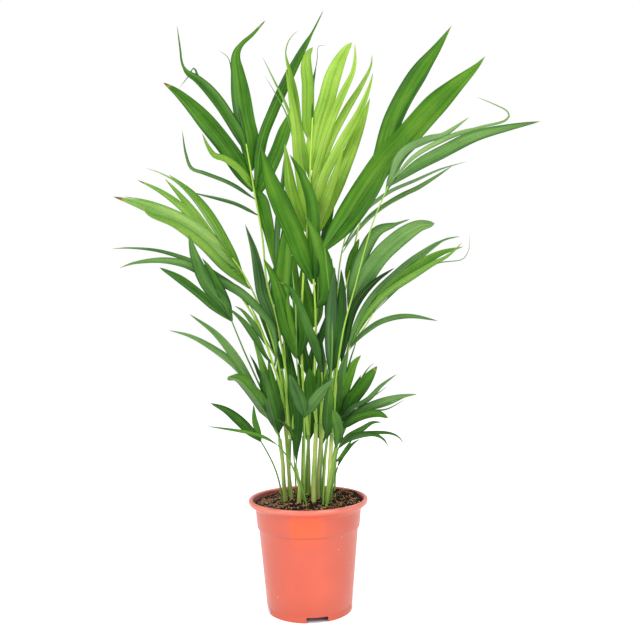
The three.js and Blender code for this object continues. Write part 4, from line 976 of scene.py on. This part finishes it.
def soil_piece():
    rng = np.random.default_rng(5)
    angle = np.linspace(0, 2 * np.pi, SOIL_SIDES, endpoint=False)
    radius = np.linspace(SOIL_EDGE, 0.5, SOIL_RINGS)[:, None]
    x, y = radius * np.cos(angle), radius * np.sin(angle)
    z = soil_height(x, y) + 0.9 * bumps(x, y, rng, 14, 5, 14) + 0.45 * bumps(x, y, rng, 16, 2, 4.5)
    rings = [np.stack([out * np.cos(angle), out * np.sin(angle), np.full(SOIL_SIDES, up)], -1)
        for out, up in SOIL_SIDE]
    points = np.vstack([*rings, np.stack([x, y, z], -1).reshape(-1, 3)])
    shell = Shell()
    shell.add_plain(tube_faces(SOIL_RINGS + len(SOIL_SIDE), SOIL_SIDES), points)
    mix = soil_material("potting_mix", (0.009, 0.0065, 0.006), (0.034, 0.022, 0.019))
    shell.piece("soil_bed", [mix], "potting_soil", "potting_soil", 180)


def crumb(shell, rng, centre, size, slot=0, stretch=1):
    """A small rough lump: the hull of a dozen points."""
    golden = np.pi * (3 - 5**0.5)
    k = np.arange(12)
    z = 1 - 2 * (k + 0.5) / 12
    ring = np.sqrt(1 - z**2)
    points = np.stack([ring * np.cos(golden * k), ring * np.sin(golden * k), z], -1)
    points = points * rng.uniform(0.7, 1.25, (12, 1)) * np.array([stretch, 1, rng.uniform(0.6, 1)])
    spin = Matrix.Rotation(rng.uniform(0, 6.3), 3, Vector(rng.normal(size=3)))
    points = points @ np.array(spin).T * size + centre
    hull = bmesh.new()
    for point in points:
        hull.verts.new(point)
    bmesh.ops.convex_hull(hull, input=hull.verts)
    hull.verts.index_update()
    faces = [tuple(v.index for v in face.verts) for face in hull.faces]
    points = np.array([v.co for v in hull.verts])
    hull.free()
    shell.add_plain(faces, points, slot)


def scatter(rng, count, edge=CRUMB_EDGE):
    """Places on the soil, off the canes."""
    feet = np.array([[places[1][0], places[1][2]] for _, places in CANES.values()])
    found = []
    while len(found) < count:
        at = rng.uniform(-edge, edge, 2)
        if np.hypot(*at) < edge and np.min(np.linalg.norm(feet - at, axis=1)) > OFF_CANES:
            found.append(at)
    return np.array(found)


def crumb_pieces():
    rng = np.random.default_rng(11)
    crumbs, specks = Shell(), Shell()
    for at in scatter(rng, 2600):
        size = rng.choice([0.5, 0.8, 1.2, 1.9], p=[0.35, 0.35, 0.22, 0.08])
        crumb(crumbs, rng, over_soil(at, 0.5 + 0.5 * rng.uniform()), size)
    for at in scatter(rng, 110):
        crumb(specks, rng, over_soil(at, 1.3), rng.uniform(0.4, 1.1))
    for at in scatter(rng, 150):
        crumb(specks, rng, over_soil(at, 1.3), rng.uniform(0.5, 1.2), 1, rng.uniform(1.2, 3))
    dark = soil_material("soil_crumb", (0.01, 0.007, 0.0065), (0.043, 0.027, 0.022))
    crumbs.piece("soil_crumbs", [dark], None, "potting_soil", 30)
    pale = speck_material("perlite", (0.42, 0.31, 0.17), (0.74, 0.6, 0.38), 0.8)
    bark = speck_material("bark_chip", (0.2, 0.085, 0.025), (0.52, 0.27, 0.09), 0.85)
    specks.piece("soil_specks", [pale, bark], None, "potting_soil", 30)


def fibre_pieces():
    rng = np.random.default_rng(23)
    shell = Shell()

    def fibre(at, length, radius, slot, rise):
        heading = rng.uniform(0, 6.3)
        steps = rng.integers(6, 10)
        points = []
        for k in range(steps):
            if np.hypot(*at) < FIBRE_LIMIT:
                arch = rise * math.sin(math.pi * k / (steps - 1)) * rng.uniform(0.6, 1.3)
                points.append(over_soil(at, 1.2 + arch))
            heading += rng.normal(0, 0.55)
            at = at + length / steps * np.array([math.cos(heading), math.sin(heading)])
        if len(points) > 3:
            rod(shell, smooth_line(points, 5), (radius, radius * 0.5), slot)

    for at in scatter(rng, 260, FIBRE_EDGE):
        fibre(at, rng.uniform(6, 18), rng.uniform(0.15, 0.38), 0, rng.uniform(0.2, 1.6))
    for _ in range(60):
        at = np.array([rng.normal(-50, 9), rng.normal(-15, 16)])
        fibre(at, rng.uniform(10, 26), rng.uniform(0.12, 0.26), 1, rng.uniform(0.4, 3.0))
    orange = speck_material("coir_fibre", (0.38, 0.16, 0.04), (0.74, 0.4, 0.12), 0.7)
    pink = speck_material("fine_root", (0.34, 0.17, 0.1), (0.6, 0.38, 0.27), 0.6)
    shell.piece("soil_fibres", [orange, pink], None, "potting_soil", 60)


soil_piece()
crumb_pieces()
fibre_pieces()

# ---- Studio ----

FLOOR_HALF = 6
GLOW_FROM = (0.058, 0.061)  # the floor doesn't glow under the pot
LAMPS = [
    ("key", (-0.9, -1.5, 1.7), 0.9, 30),
    ("fill", (1.6, -1.1, 1.0), 1.2, 10),
    ("back", (0.4, 1.5, 1.8), 1.4, 16),
]
LIT_PLACE = Vector((0, 0, 0.4))


def studio():
    scene = bpy.context.scene
    scene.view_settings.view_transform = "Standard"
    world = bpy.data.worlds.new("studio")
    scene.world = world
    world.use_nodes = True
    nodes, links = world.node_tree.nodes, world.node_tree.links
    rays = nodes.new("ShaderNodeLightPath")
    level = nodes.new("ShaderNodeMapRange")
    level.inputs["To Min"].default_value = 0.66  # for the light that it gives
    level.inputs["To Max"].default_value = 1.0  # as the white backdrop
    links.new(rays.outputs["Is Camera Ray"], level.inputs["Value"])
    links.new(level.outputs[0], nodes["Background"].inputs[1])
    nodes["Background"].inputs[0].default_value = (1, 1, 1, 1)

    mesh = bpy.data.meshes.new("floor")
    corners = [(-1, -1), (1, -1), (1, 1), (-1, 1)]
    mesh.from_pydata([(x * FLOOR_HALF, y * FLOOR_HALF, 0) for x, y in corners], [], [(0, 1, 2, 3)])
    n = Nodes("floor")
    glow = n.span(n.length(n.place()), *GLOW_FROM, 0.0, 0.42)
    shader = n.node("BsdfPrincipled", {"Base Color": (0.9, 0.9, 0.9, 1), "Roughness": 0.9,
        "Emission Color": (1, 1, 1, 1), "Emission Strength": glow})
    mesh.materials.append(n.surface(shader.outputs[0]))
    floor = add_object("floor", mesh)

    for name, spot, side, power in LAMPS:
        data = bpy.data.lights.new(name, "AREA")
        data.shape, data.size, data.energy = "SQUARE", side, power
        lamp = add_object(name, data)
        lamp.location = spot
        lamp.rotation_mode = "QUATERNION"
        lamp.rotation_quaternion = (LIT_PLACE - Vector(spot)).to_track_quat("-Z", "Y")


studio()
